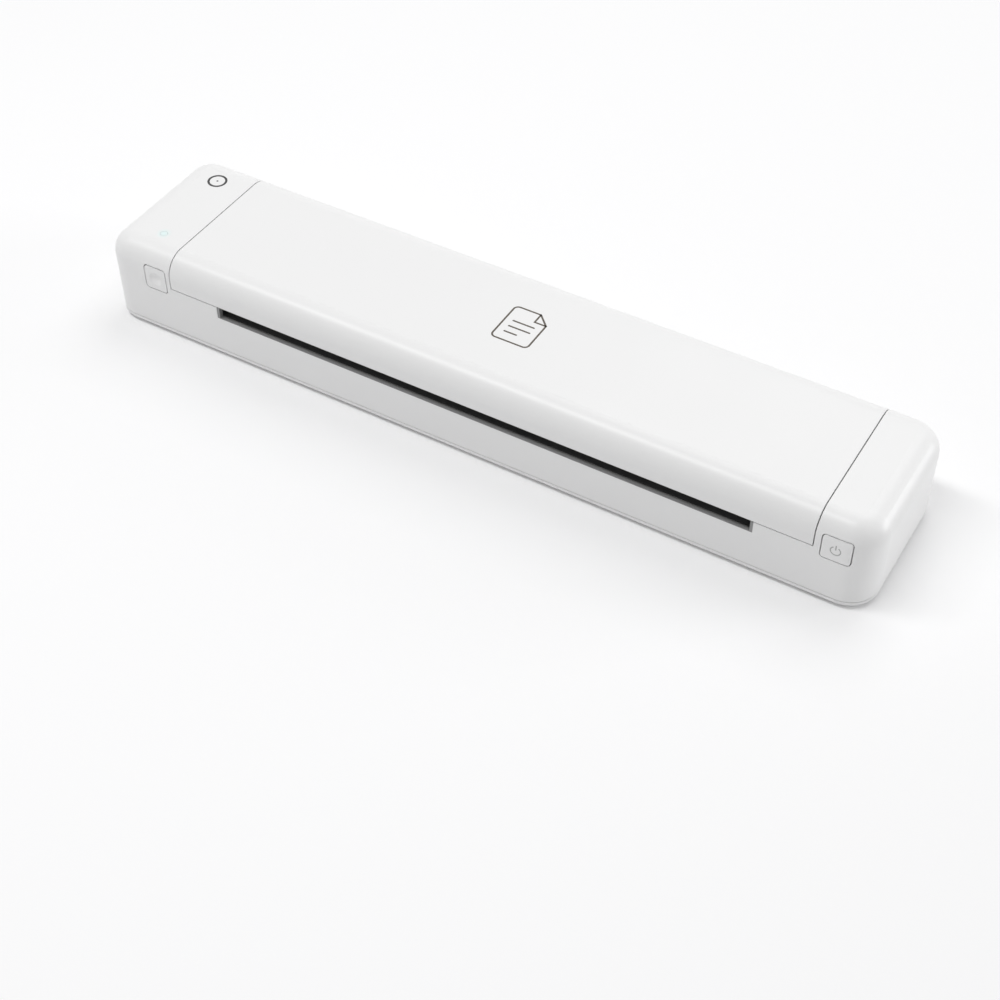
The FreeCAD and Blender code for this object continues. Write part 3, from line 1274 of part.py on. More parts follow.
def head_ribbon():
    """The flat ribbon from the main board up past the hinge line to the head board."""
    h, d = RIBBON_PLUG
    start_z = BOARD_Z + BOARD_T + h / 2
    end_z = HEATSINK_TOP + BOARD_T + h / 2
    back = HINGE_Y - BARREL_R - 3 * CLEAR
    lift = (end_z - start_z) / 5
    points = [(RIBBON_X0, ribbon_board_y() - d / 2, start_z),
              (RIBBON_X0, back - lift, start_z),
              (RIBBON_X0, back, start_z + lift),
              (RIBBON_X0, back, end_z - lift),
              (RIBBON_X0, back - lift, end_z + CLEAR),
              (RIBBON_X0, HEAD_Y1 + d, end_z + CLEAR),
              (RIBBON_X0, HEAD_Y1 + d / 2, end_z),
              (RIBBON_X0, HEAD_Y1 - d / 2 + CLEAR, end_z)]
    path, radii = tangent_path(points)
    print("ribbon: least bend radius %.1f" % min(radii))
    x, y, z = points[0]
    profile = Part.makePolygon([V(x, y, z - RIBBON_T / 2), V(x + RIBBON_W, y, z - RIBBON_T / 2),
                                V(x + RIBBON_W, y, z + RIBBON_T / 2), V(x, y, z + RIBBON_T / 2),
                                V(x, y, z - RIBBON_T / 2)])
    return path.makePipeShell([profile], True, False)


def ribbon_board_y():
    """The rear face of the ribbon's connector on the main board."""
    return (MAIN_BOARD_FRONT + BAY_BACK) / 2


# Power and control
def battery_pack():
    pack = box(BATTERY_X0, BATTERY_X1, BATTERY_FRONT, BAY_BACK, BATTERY_LOW, BATTERY_TOP)
    along = edges_where(pack, lambda b: b.XLength > b.YLength + b.ZLength)
    return pack.makeFillet(BATTERY_R, along)


def battery_pads():
    pads = []
    for share in PAD_SHARES:
        x = BATTERY_X0 + share * (BATTERY_X1 - BATTERY_X0)
        pads.append(box(x - PAD_W / 2, x + PAD_W / 2, BATTERY_FRONT + PAD_W / 2,
                        BAY_BACK - PAD_W / 2, CHASSIS_TOP, BATTERY_LOW))
    return Part.makeCompound(pads)


def main_board():
    board = box(MAIN_BOARD_X0, MAIN_BOARD_X1, MAIN_BOARD_FRONT, BAY_BACK, BOARD_Z, BOARD_Z + BOARD_T)
    holes = [rod_z(x, y, 0, HEIGHT, SCREW_R + RUN_FIT) for x, y in board_screw_places()]
    return cut(board, *holes)


def main_board_parts():
    """Chips, capacitors and plugs on the main board, each as (x share, y share, w, d, h)."""
    side = MAIN_BOARD_WIDTH
    layout_shares = ((0.28, 0.40, 0.46, 0.46, 0.08), (0.42, 0.44, 0.34, 0.34, 0.07),
                     (0.55, 0.30, 0.24, 0.18, 0.12), (0.55, 0.70, 0.18, 0.18, 0.22),
                     (0.70, 0.26, 0.38, 0.24, 0.20))
    z0 = BOARD_Z + BOARD_T
    parts = []
    for at_x, at_y, w, d, h in layout_shares:
        x = MAIN_BOARD_X0 + at_x * MAIN_BOARD_LENGTH
        y = MAIN_BOARD_FRONT + at_y * side
        parts.append(box(x - w * side / 2, x + w * side / 2, y - d * side / 2, y + d * side / 2,
                         z0, z0 + h * side))
    for share in PLUG_SHARES:
        x, y, _ = plug_mouth(share)
        w, d, h = (size_share * side for size_share in PLUG_SIZE_SHARES)
        parts.append(box(x - w / 2, x + w / 2, y - d, y, z0, z0 + h))
    bx, by, _ = battery_plug_mouth()
    size_share, h_share = BATTERY_PLUG_SHARES[2:]
    parts.append(box(bx, bx + size_share * side, by - size_share * side / 2,
                     by + size_share * side / 2, z0, z0 + h_share * side))
    px, py, _ = side_plug_mouth()
    w, d, h = SIDE_PLUG
    parts.append(box(px - w, px, py - d / 2, py + d / 2, z0, z0 + h))
    plug_h, plug_d = RIBBON_PLUG
    y1 = ribbon_board_y()
    plug = box(RIBBON_X0 - CLEAR, RIBBON_X1 + CLEAR, y1 - plug_d, y1, z0, z0 + plug_h)
    mouth = box(RIBBON_X0 - RUN_FIT, RIBBON_X1 + RUN_FIT, y1 - plug_d / 2 - CLEAR, y1 + OVERRUN,
                z0 + plug_h / 2 - RIBBON_T / 2 - RUN_FIT, z0 + plug_h / 2 + RIBBON_T / 2 + RUN_FIT)
    parts.append(cut(plug, mouth))
    return Part.makeCompound(parts)


def plug_mouth(share):
    """The middle of a wire plug's rear face on the main board."""
    height = PLUG_SIZE_SHARES[2] * MAIN_BOARD_WIDTH
    return (MAIN_BOARD_X0 + share * MAIN_BOARD_LENGTH, BAY_BACK - BOSS_R / 2,
            BOARD_Z + BOARD_T + height / 2)


def battery_plug_mouth():
    """The middle of the battery plug's left face."""
    share_x, share_y, _, h_share = BATTERY_PLUG_SHARES
    return (MAIN_BOARD_X0 + share_x * MAIN_BOARD_LENGTH, MAIN_BOARD_FRONT + share_y * MAIN_BOARD_WIDTH,
            BOARD_Z + BOARD_T + h_share * MAIN_BOARD_WIDTH / 2)


def side_plug_mouth():
    """The middle of the right face of the plug for the socket and the power switch."""
    return (MAIN_BOARD_X1 - BOARD_T, SIDE_WIRE_Y, BOARD_Z + BOARD_T + SIDE_PLUG[2] / 2)


def board_screws():
    top = BOARD_Z + BOARD_T
    screws = [screw((x, y, top), (0, 0, -1), BOARD_T + STANDOFF_H) for x, y in board_screw_places()]
    low = LED_BOARD_TOP - BOARD_T
    screws += [screw((x, y, low), (0, 0, 1), BOARD_T + LAMP_FLANGE_T) for x, y in led_screw_places()]
    return Part.makeCompound(screws)


def usb_board_z():
    """The top of the socket's board, which the socket's shell stands on."""
    return USB_Z - USB_H / 2


def usb_board():
    w, d = USB_BOARD
    z1 = usb_board_z()
    y1 = INNER_Y - CLEAR
    return box(USB_X - w / 2, USB_X + w / 2, y1 - d, y1, z1 - BOARD_T, z1)


def usb_board_rail():
    """A shelf on the right bulkhead and rear wall that the socket's board lies on."""
    w, d = USB_BOARD
    z1 = usb_board_z() - BOARD_T
    return box(WELL_X1, USB_X + w / 4, INNER_Y - d / 2, INNER_Y, z1 - RIB_T, z1)


def usb_socket():
    """The metal shell and its inner tongue, as two solids."""
    y1 = HALF_Y - SEAM_GAP
    y0 = y1 - USB_DEPTH
    shell = usb_outline(0, y0, y1).cut(usb_outline(-USB_SHELL, y0 + USB_SHELL, y1 + OVERRUN))
    w, h = USB_TONGUE
    tongue = box(USB_X - w / 2, USB_X + w / 2, y0 + USB_SHELL, y0 + USB_SHELL + USB_TONGUE_REACH,
                 USB_Z - h / 2, USB_Z + h / 2)
    return joined(shell, tongue)


# Wires
def wall_run(x0, x1, z):
    """Points of a wire that lies along the rear wall, a little uneven."""
    spread = (x1 - x0) / 4
    sway = WIRE_R / 3
    return [(x0 + spread * step, WIRE_Y + sway * side, z + sway * lift)
            for step, side, lift in ((0, 0, 0), (1, 1, 1), (2, -1, 0), (3, 1, 1), (4, 0, -1))]


def into_plug(share, side):
    """The last points of a wire that comes along the rear wall and turns into its plug."""
    x, y, z = plug_mouth(share)
    turn = WIRE_Y - y
    return [(x + side * turn / 4, WIRE_Y - turn / 4, z + WIRE_R / 2), (x, y + turn / 2, z), (x, y, z)]


def motor_cable():
    """The motor's leads: out of the can, through the bulkhead and along the rear wall."""
    out_x = BULKHEAD_X0 - MOTOR_FLANGE_T - MOTOR_LENGTH * 3 / 4
    side_y = MOTOR_Y + MOTOR_R + CLEAR
    z = MOTOR_Z - 2 * LEAD_R
    turn = WIRE_Y - side_y
    start = [(out_x, side_y, z), (out_x, side_y + turn / 2, z),
             (out_x + turn / 2, WIRE_Y, z - turn / 6)]
    last_x = plug_mouth(PLUG_SHARES[0])[0] - turn
    return wire_tube(start + wall_run(BULKHEAD_X0, last_x, WIRE_Z) + into_plug(PLUG_SHARES[0], -1),
                     LEAD_R)


def led_cable():
    """The status lamp's leads: over the motor, down behind it, then above the motor's leads."""
    x0, x1, _, y1, z0, _ = led_board_box()
    x = (x0 + x1) / 2
    z = WIRE_Z + LEAD_R + WIRE_R + CLEAR
    over = MOTOR_Z + MOTOR_R + 2 * LEAD_R
    drop = z0 - over
    start = [(x, y1 - LEAD_R, z0), (x, y1 - LEAD_R, z0 - drop / 2),
             (x, y1 + 2 * drop, over + LEAD_R), (x, MOTOR_Y + drop, over),
             (x, WIRE_Y - WIRE_R, over - drop), (x + LEAD_R, WIRE_Y, z + drop),
             (x + drop, WIRE_Y + WIRE_R / 3, z + LEAD_R)]
    last_x = plug_mouth(PLUG_SHARES[1])[0] - drop
    return wire_tube(start + wall_run(BULKHEAD_X0, last_x, z) + into_plug(PLUG_SHARES[1], -1),
                     WIRE_R)


def switch_cable():
    """The power switch's leads: back and down, through the bulkhead to the main board."""
    y0 = SWITCH_BACK_Y + BOARD_T
    x0 = BULKHEAD_X1 + SWITCH_BOARD_W * 3 / 4
    x1, y1, z1 = side_plug_mouth()
    z1 += LEAD_R
    step = (y1 - y0) / 5
    drop = (BUTTON_MID_Z - z1) / 3
    return wire_tube([(x0, y0, BUTTON_MID_Z), (x0, y0 + step, BUTTON_MID_Z),
                      (x0 - step / 4, y0 + 2 * step, BUTTON_MID_Z - drop),
                      (BULKHEAD_X1 + step, y1 - step, z1 + drop / 2),
                      (BULKHEAD_X1, y1 - LEAD_R / 2, z1 + LEAD_R / 2),
                      (x1 + LEAD_R, y1, z1), (x1, y1, z1)], WIRE_R)


def usb_cable():
    """The charging socket's leads, from its board through the bulkhead to the main board."""
    y0 = INNER_Y - CLEAR - USB_BOARD[1]
    z0 = usb_board_z() - BOARD_T / 2
    x1, y1, z1 = side_plug_mouth()
    z1 -= LEAD_R
    step = (y0 - y1) / 3
    return wire_tube([(USB_X, y0, z0), (USB_X, y0 - step, z0),
                      (USB_X - step / 2, y1 + step / 3, z1),
                      (BULKHEAD_X1, y1 + LEAD_R / 3, z1 + LEAD_R / 3),
                      (x1 + LEAD_R, y1, z1), (x1, y1, z1)], LEAD_R)


def battery_leads():
    """The short leads from the battery's end to its plug on the main board."""
    x0 = BATTERY_X1
    y0 = (BATTERY_FRONT + BAY_BACK) / 2
    z0 = (BATTERY_LOW + BATTERY_TOP) / 2
    x1, y1, z1 = battery_plug_mouth()
    step = (x1 - x0) / 4
    return wire_tube([(x0, y0, z0), (x0 + step, y0, z0),
                      (x0 + 2 * step, (y0 + y1) / 2, z1 + LEAD_R / 2), (x0 + 3 * step, y1, z1),
                      (x1, y1, z1)], LEAD_R)


# Every node and the function that makes it
def print_size(name, shape):
    print("%-18s solids %2d valid %s volume %.1f" % (
        name, len(shape.Solids), shape.isValid(), shape.Volume))


NODES = {
    "main_housing": main_housing, "bottom_cover": bottom_cover, "rubber_feet": rubber_feet,
    "case_screws": case_screws, "top_cover": top_cover, "hinge_pins": hinge_pins,
    "chassis_frame": chassis_frame, "lower_sheet_guide": lower_sheet_guide,
    "guide_screws": guide_screws, "paper_sensor": paper_sensor, "cover_liner": cover_liner,
    "liner_screws": liner_screws, "platen_bushes": platen_bushes, "platen_shaft": platen_shaft,
    "platen_roller": platen_roller, "platen_gear": platen_gear, "idler_gear": idler_gear,
    "idler_stud": idler_stud, "drive_motor": drive_motor, "motor_screws": motor_screws,
    "motor_shaft": motor_shaft, "motor_pinion": motor_pinion, "latch_shaft": latch_shaft,
    "latch_hooks": latch_hooks, "latch_keepers": latch_keepers, "latch_lever": latch_lever,
    "release_button": release_button, "release_spring": release_spring,
    "power_button": power_button, "switch_plunger": switch_plunger,
    "power_switch": power_switch, "switch_board": switch_board, "led_board": led_board,
    "status_led": status_led, "light_pipe": light_pipe, "heat_sink": heat_sink,
    "thermal_head": thermal_head, "driver_cover": driver_cover, "head_board": head_board,
    "head_connector": head_connector, "shoulder_screws": shoulder_screws,
    "head_springs": head_springs, "head_ribbon": head_ribbon, "battery_pack": battery_pack,
    "battery_pads": battery_pads, "main_board": main_board,
    "main_board_parts": main_board_parts, "board_screws": board_screws,
    "usb_board": usb_board, "usb_socket": usb_socket, "motor_cable": motor_cable,
    "led_cable": led_cable, "switch_cable": switch_cable, "usb_cable": usb_cable,
    "battery_leads": battery_leads,
}


def main():
    os.makedirs("parts", exist_ok=True)
    for name, make in NODES.items():
        shape = make()
        print_size(name, shape)
        shape.exportStep(os.path.join("parts", name + ".step"))


main()
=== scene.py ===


# %% [markdown]
# # A portable A4 thermal printer, dressed in Blender
# The solids of this printer come from CAD, in metres, each one on the body that it moves with. This
# lesson leaves their shapes alone. It gives every solid the finish of the real piece, and makes in
# Blender what CAD does badly: wound springs, a flexible ribbon, twisted wires, the leads and small
# parts on the boards, a grey strip round the sheet slot and the printed symbols.

# %% Load the imported model
import math

import bmesh
import bpy
from mathutils import Matrix, Vector


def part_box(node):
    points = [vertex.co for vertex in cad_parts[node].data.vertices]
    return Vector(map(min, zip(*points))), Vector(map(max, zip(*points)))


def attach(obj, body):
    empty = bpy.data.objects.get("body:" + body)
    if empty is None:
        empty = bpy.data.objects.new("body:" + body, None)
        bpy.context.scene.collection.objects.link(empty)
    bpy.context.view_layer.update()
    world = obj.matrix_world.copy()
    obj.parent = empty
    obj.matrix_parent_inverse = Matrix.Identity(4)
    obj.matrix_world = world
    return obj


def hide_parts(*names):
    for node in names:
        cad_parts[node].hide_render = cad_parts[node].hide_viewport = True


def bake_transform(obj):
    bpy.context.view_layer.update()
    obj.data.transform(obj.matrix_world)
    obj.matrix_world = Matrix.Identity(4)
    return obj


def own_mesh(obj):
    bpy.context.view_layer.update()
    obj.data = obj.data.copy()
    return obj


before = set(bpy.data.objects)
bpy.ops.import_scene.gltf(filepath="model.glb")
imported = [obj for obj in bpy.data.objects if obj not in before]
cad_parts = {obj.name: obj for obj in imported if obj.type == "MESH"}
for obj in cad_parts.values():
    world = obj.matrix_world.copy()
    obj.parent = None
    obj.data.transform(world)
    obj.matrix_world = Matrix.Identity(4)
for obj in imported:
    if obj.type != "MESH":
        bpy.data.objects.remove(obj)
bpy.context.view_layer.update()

MM = 0.001

# %% [markdown]
# ## Camera
# A product picture of a flat, wide object is taken from well above it and a little from the side, so
# that the top, the front and one end all show. A fairly long lens from two thirds of a metre keeps
# the long edges nearly parallel. The three angles below turn a camera that first looks straight down.

# %% Camera
CAMERA_PLACE = (0.24923, -0.42271, 0.45073)
CAMERA_TILT = math.radians(44.26)
CAMERA_TURN = math.radians(30.71)
CAMERA_ROLL = -0.0061
LENS_MM = 64.795
SENSOR_MM = 36.0

camera_data = bpy.data.cameras.new("product_camera")
camera_data.lens = LENS_MM
camera_data.sensor_width = SENSOR_MM
camera = bpy.data.objects.new("product_camera", camera_data)
bpy.context.scene.collection.objects.link(camera)
camera.location = CAMERA_PLACE
facing = (Matrix.Rotation(CAMERA_TURN, 3, "Z") @ Matrix.Rotation(CAMERA_TILT, 3, "X")
          @ Matrix.Rotation(CAMERA_ROLL, 3, "Z"))
camera.rotation_euler = facing.to_euler()
bpy.context.scene.camera = camera
print("camera stands", round(camera.location.length / MM), "mm from the printer's middle")

# %% [markdown]
# ## Floor and light
# White goods on a white ground are the hardest thing to light, because every surface is close to
# clipping. The light is therefore soft: an even dome fills the shadows, and a large soft box behind
# lifts the top over the front wall and lets a soft shadow fall forward. A narrow strip overhead,
# three times as long as the printer, stands where the round front edge mirrors it into the camera,
# and a box far off to the right and behind is for the end. The background shows as white to the
# camera, in mirrors and through glass, while the sky that lights the object is darker.

# %% View transform and sky
scene = bpy.context.scene
scene.view_settings.view_transform = "Standard"

WHITE = (1.0, 1.0, 1.0, 1.0)
SKY_LEVEL = 0.445
BACKDROP_LEVEL = 1.0


def put(tree, kind, settings=None, sockets=None):
    """Adds one node. A socket's value is either a number or another node's output."""
    made = tree.nodes.new(kind)
    for name, value in (settings or {}).items():
        setattr(made, name, value)
    for name, value in (sockets or {}).items():
        plug(tree, made.inputs[name], value)
    return made


def plug(tree, socket, value):
    """Links a socket to another node's output, or gives it a fixed value."""
    if isinstance(value, bpy.types.NodeSocket):
        tree.links.new(value, socket)
    else:
        socket.default_value = value


def calc(tree, operation, first, second):
    """The result of one Math node."""
    return put(tree, "ShaderNodeMath", {"operation": operation}, {0: first, 1: second}).outputs[0]


def ramp(tree, value, start, end, low=0.0, high=1.0):
    """A number that goes from low to high while value goes from start to end."""
    return put(tree, "ShaderNodeMapRange", None, {
        "Value": value, "From Min": start, "From Max": end,
        "To Min": low, "To Max": high}).outputs["Result"]


def between(tree, share, low, high):
    """A number that follows a mask from low to high."""
    return ramp(tree, share, 0.0, 1.0, low, high)


def seen_directly(tree):
    """1 for camera, mirror and glass rays, which show the background, and 0 for the rest."""
    rays = put(tree, "ShaderNodeLightPath").outputs
    shown = calc(tree, "MAXIMUM", rays["Is Camera Ray"], rays["Is Glossy Ray"])
    return calc(tree, "MAXIMUM", shown, rays["Is Transmission Ray"])


world = bpy.data.worlds.new("white_studio")
world.use_nodes = True
scene.world = world
sky = world.node_tree
sky.nodes.clear()
level = between(sky, seen_directly(sky), SKY_LEVEL, BACKDROP_LEVEL)
background = put(sky, "ShaderNodeBackground", None, {"Color": WHITE, "Strength": level})
put(sky, "ShaderNodeOutputWorld", None, {"Surface": background.outputs[0]})
print("sky lights at", SKY_LEVEL, "and shows at", BACKDROP_LEVEL)

# %% Soft boxes
def soft_box(name, place, width, depth, watts):
    """A soft box that looks at the middle of the printer. Its width lies along the printer."""
    data = bpy.data.lights.new(name, "AREA")
    data.shape = "RECTANGLE"
    data.size = width
    data.size_y = depth
    data.energy = watts
    box = bpy.data.objects.new(name, data)
    scene.collection.objects.link(box)
    away = Vector(place).normalized()
    along = Vector((1, 0, 0)) if width > depth else Vector((0, 1, 0))
    along = (along - away * along.dot(away)).normalized()
    turned = Matrix((along, away.cross(along), away)).transposed().to_4x4()
    box.matrix_world = Matrix.Translation(place) @ turned
    print(name, "is", round(Vector(place).length, 2), "m away")


soft_box("back_box", (0.05, 0.75, 1.2), width=1.0, depth=1.0, watts=5.3)
soft_box("strip_box", (-0.35, -0.31, 1.15), width=0.95, depth=0.17, watts=5.9)
soft_box("end_box", (1.3, 0.8, 0.27), width=0.6, depth=0.6, watts=6.0)

# %% Floor
FLOOR_HALF = 4.0
FLOOR_COLOUR = (0.9, 0.9, 0.905, 1.0)
FLOOR_ROUGHNESS = 0.9
FLOOR_LIFT = 0.075

corners = [(x * FLOOR_HALF, y * FLOOR_HALF, 0) for x, y in ((-1, -1), (1, -1), (1, 1), (-1, 1))]
floor_mesh = bpy.data.meshes.new("pale_floor")
floor_mesh.from_pydata(corners, [], [(0, 1, 2, 3)])
floor = bpy.data.objects.new("pale_floor", floor_mesh)
scene.collection.objects.link(floor)
floor_paint = bpy.data.materials.new("floor_paint")
floor_paint.use_nodes = True
tree = floor_paint.node_tree
shader = tree.nodes["Principled BSDF"]
plug(tree, shader.inputs["Base Color"], FLOOR_COLOUR)
plug(tree, shader.inputs["Roughness"], FLOOR_ROUGHNESS)
plug(tree, shader.inputs["Specular IOR Level"], 0.0)
plug(tree, shader.inputs["Emission Color"], WHITE)
plug(tree, shader.inputs["Emission Strength"], between(tree, seen_directly(tree), 0.0, FLOOR_LIFT))
floor.data.materials.append(floor_paint)
print("floor is", 2 * FLOOR_HALF, "m wide")

# %% [markdown]
# ## Shared effects
# Many finishes need the same few effects, each at its own size: the fine grain that a spark-eroded
# mould leaves on plastic, rounded edges that are a little lighter where they are worn, the lines that
# rolling or turning leaves on metal, and the tracks under a circuit board's lacquer. Each of them is
# one node group, built once and placed in every material that needs it, with its own numbers.

# %% A helper that starts a node group
ORIGIN = (0.0, 0.0, 0.0)


def start_group(name, inputs, outputs):
    """A new shader group. inputs are name: default pairs, where a tuple makes a vector."""
    group = bpy.data.node_groups.new(name, "ShaderNodeTree")
    for label, default in inputs.items():
        kind = "NodeSocketVector" if isinstance(default, tuple) else "NodeSocketFloat"
        group.interface.new_socket(label, in_out="INPUT", socket_type=kind).default_value = default
    for label, kind in outputs.items():
        group.interface.new_socket(label, in_out="OUTPUT", socket_type="NodeSocket" + kind)
    given = group.nodes.new("NodeGroupInput").outputs
    out = group.nodes.new("NodeGroupOutput").inputs
    return group, given, out


def vectors(tree, operation, first, second):
    """The outputs of one Vector Math node."""
    return put(tree, "ShaderNodeVectorMath", {"operation": operation}, {0: first, 1: second}).outputs


def per(tree, size):
    """How many of a size go into one metre."""
    return calc(tree, "DIVIDE", 1.0, size)


def noise(tree, place, scale, detail, rough):
    """The value of one Noise Texture node."""
    return put(tree, "ShaderNodeTexNoise", None, {
        "Vector": place, "Scale": scale, "Detail": detail, "Roughness": rough}).outputs["Fac"]


# %% [markdown]
# ### Moulded grain
# The mould's surface is etched, so the plastic carries a fine, even pebble. Noise gives the pebble.
# A second, much larger noise says where the part was gripped, wiped or filled last, and is used for
# small changes of tone and gloss. Without it a large white face looks like paper.

# %% Moulded grain
grain_group, given, out = start_group(
    "Moulded grain", {"Place": ORIGIN, "Grain Size": 0.4 * MM, "Patch Size": 30 * MM},
    {"Height": "Float", "Patch": "Float"})
fine = per(grain_group, given["Grain Size"])
wide = per(grain_group, given["Patch Size"])
plug(grain_group, out["Height"], noise(grain_group, given["Place"], fine, 2.0, 0.55))
plug(grain_group, out["Patch"], noise(grain_group, given["Place"], wide, 3.0, 0.45))
print("moulded grain:", len(grain_group.nodes), "nodes")

# %% [markdown]
# ### Rounded edges
# No real edge is sharp: a mould leaves about a quarter of a millimetre. The Bevel node turns the
# normal round such an edge, which gives the thin light line that the eye expects there. The angle
# between this normal and the flat one is also a mask of the edges, and noise breaks that mask up.

# %% Rounded edges
BEVEL_SAMPLES = 4
EDGE_COSINES = (0.99, 0.85)
BREAK_UP_RANGE = (0.35, 0.65)

edge_group, given, out = start_group(
    "Rounded edges", {"Place": ORIGIN, "Radius": 0.3 * MM, "Break Up": 4 * MM},
    {"Normal": "Vector", "Edge": "Float"})
bevel = put(edge_group, "ShaderNodeBevel", {"samples": BEVEL_SAMPLES}, {"Radius": given["Radius"]})
flat = put(edge_group, "ShaderNodeNewGeometry")
turned = vectors(edge_group, "DOT_PRODUCT", bevel.outputs["Normal"], flat.outputs["Normal"])
worn = noise(edge_group, given["Place"], per(edge_group, given["Break Up"]), 3.0, 0.6)
plug(edge_group, out["Normal"], bevel.outputs["Normal"])
plug(edge_group, out["Edge"], calc(
    edge_group, "MULTIPLY", ramp(edge_group, turned["Value"], *EDGE_COSINES),
    ramp(edge_group, worn, *BREAK_UP_RANGE)))
print("rounded edges:", len(edge_group.nodes), "nodes")

# %% [markdown]
# ### Drawn metal
# Rolled sheet, turned shafts and ground pins all carry lines that run one way. Stretching the noise's
# space along one axis draws them: the axis with the smallest number is the one that the lines follow.

# %% Drawn metal
LINES_PER_STREAK = 9.0

drawn_group, given, out = start_group(
    "Drawn metal", {"Place": ORIGIN, "Stretch": (1.0, 1.0, 1.0), "Line Size": 0.2 * MM},
    {"Height": "Float", "Streak": "Float"})
lines = per(drawn_group, given["Line Size"])
streaks = calc(drawn_group, "DIVIDE", lines, LINES_PER_STREAK)
stretched = vectors(drawn_group, "MULTIPLY", given["Place"], given["Stretch"])["Vector"]
plug(drawn_group, out["Height"], noise(drawn_group, stretched, lines, 2.0, 0.6))
plug(drawn_group, out["Streak"], noise(drawn_group, stretched, streaks, 4.0, 0.6))
print("drawn metal:", len(drawn_group.nodes), "nodes")

# %% [markdown]
# ### Board print
# Under the green lacquer of a circuit board lie copper tracks in straight runs with plated holes. A
# wave pattern gives the runs, and a slow noise says where they lie. The square cells of a Voronoi
# pattern fill the rest with copper fields, and those of a second one give the holes.

# %% Board print
RUN_SCALE = 0.32
RUN_EDGE = (0.55, 0.62)
CELL_SCALE = 0.35
CELL_EDGE = (0.46, 0.44)
FIELD_SCALE = 0.06
FIELD_EDGE = (0.5, 0.51)
HOLE_EDGE = (0.17, 0.14)

print_group, given, out = start_group(
    "Board print", {"Place": ORIGIN, "Track Size": 0.6 * MM, "Hole Size": 2.8 * MM},
    {"Track": "Float", "Hole": "Float"})
spread = put(print_group, "ShaderNodeVectorMath", {"operation": "SCALE"}, {
    0: given["Place"], "Scale": per(print_group, given["Track Size"])}).outputs[0]
cells = put(print_group, "ShaderNodeTexVoronoi", {"distance": "CHEBYCHEV", "feature": "F1"}, {
    "Vector": spread, "Scale": CELL_SCALE})
flow = put(print_group, "ShaderNodeTexWave", {"bands_direction": "Y"}, {
    "Vector": spread, "Scale": RUN_SCALE, "Distortion": 0.0})
holes = put(print_group, "ShaderNodeTexVoronoi", {"feature": "F1"}, {
    "Vector": given["Place"], "Scale": per(print_group, given["Hole Size"])})
field = ramp(print_group, noise(print_group, spread, FIELD_SCALE, 1.0, 0.5), *FIELD_EDGE)
rest = calc(print_group, "SUBTRACT", 1.0, field)
runs = calc(print_group, "MULTIPLY", ramp(print_group, flow.outputs["Fac"], *RUN_EDGE), field)
filled = ramp(print_group, cells.outputs["Distance"], *CELL_EDGE)
blocks = calc(print_group, "MULTIPLY", filled, rest)
plug(print_group, out["Track"], calc(print_group, "MAXIMUM", runs, blocks))
plug(print_group, out["Hole"], ramp(print_group, holes.outputs["Distance"], *HOLE_EDGE))
print("board print:", len(print_group.nodes), "nodes")

# %% [markdown]
# ## Finishes
# A finish is one material. Each starts from the same small helper, which gives the shader, the place
# in the piece's own space and the placed groups. Numbers that are the same all over a surface are set
# on the shader itself. What changes over the surface comes from the groups.

# %% Helpers for finishes
MIX_COLOUR_SOCKETS = (6, 7)
MIX_COLOUR_RESULT = 2


def start_finish(name):
    """A new material: its node tree, its shader and the place on the piece in metres."""
    made = bpy.data.materials.new(name)
    made.use_nodes = True
    tree = made.node_tree
    place = put(tree, "ShaderNodeTexCoord").outputs["Object"]
    return made, tree, tree.nodes["Principled BSDF"], place


def placed(tree, group, place, values):
    """One of the shared groups, placed in a material with its own values."""
    return put(tree, "ShaderNodeGroup", {"node_tree": group}, {"Place": place, **values}).outputs


def mixed(tree, share, first, second):
    """A colour that follows a mask from first to second."""
    low, high = MIX_COLOUR_SOCKETS
    return put(tree, "ShaderNodeMix", {"data_type": "RGBA"}, {
        "Factor": share, low: first, high: second}).outputs[MIX_COLOUR_RESULT]


def bumped(tree, height, depth, normal=None):
    """The normal of a surface that a height map lifts by depth metres."""
    made = put(tree, "ShaderNodeBump", None, {"Height": height, "Distance": depth})
    if normal is not None:
        plug(tree, made.inputs["Normal"], normal)
    return made.outputs["Normal"]


def two_tone(tree, shader, mask, colours, gloss, height=None, depth=None, normal=None):
    """Lets colour and roughness follow one mask, with a bump where a height is given."""
    plug(tree, shader.inputs["Base Color"], mixed(tree, mask, *colours))
    plug(tree, shader.inputs["Roughness"], between(tree, mask, *gloss))
    if height is not None:
        plug(tree, shader.inputs["Normal"], bumped(tree, height, depth, normal))


def lay_over(tree, shader, mask, colour):
    """Lays one more colour over the base colour, where the mask says so."""
    base = shader.inputs["Base Color"]
    plug(tree, base, mixed(tree, mask, base.links[0].from_socket, colour))


def grey(level, warmth=0.0):
    """A near grey: warmth shifts it a little to yellow, or to blue where it is negative."""
    return (level, level * (1 - warmth / 3), level * (1 - warmth), 1.0)


def dimmed(colour, share):
    """A colour with a share of its brightness."""
    return tuple(part * share for part in colour[:3]) + (1.0,)


def dress(finish, *nodes):
    """Gives CAD nodes their finish."""
    for node in nodes:
        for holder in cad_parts[node].material_slots:
            holder.material = finish


# %% [markdown]
# ### White shell and other plastics
# The shell is satin ABS with a very fine etch. Two whites that are hardly apart follow the large
# patches, the gloss moves a little with them, and the edges round off over a third of a millimetre.
# The dark plastics come from the same function, with a lighter tone on their worn edges.

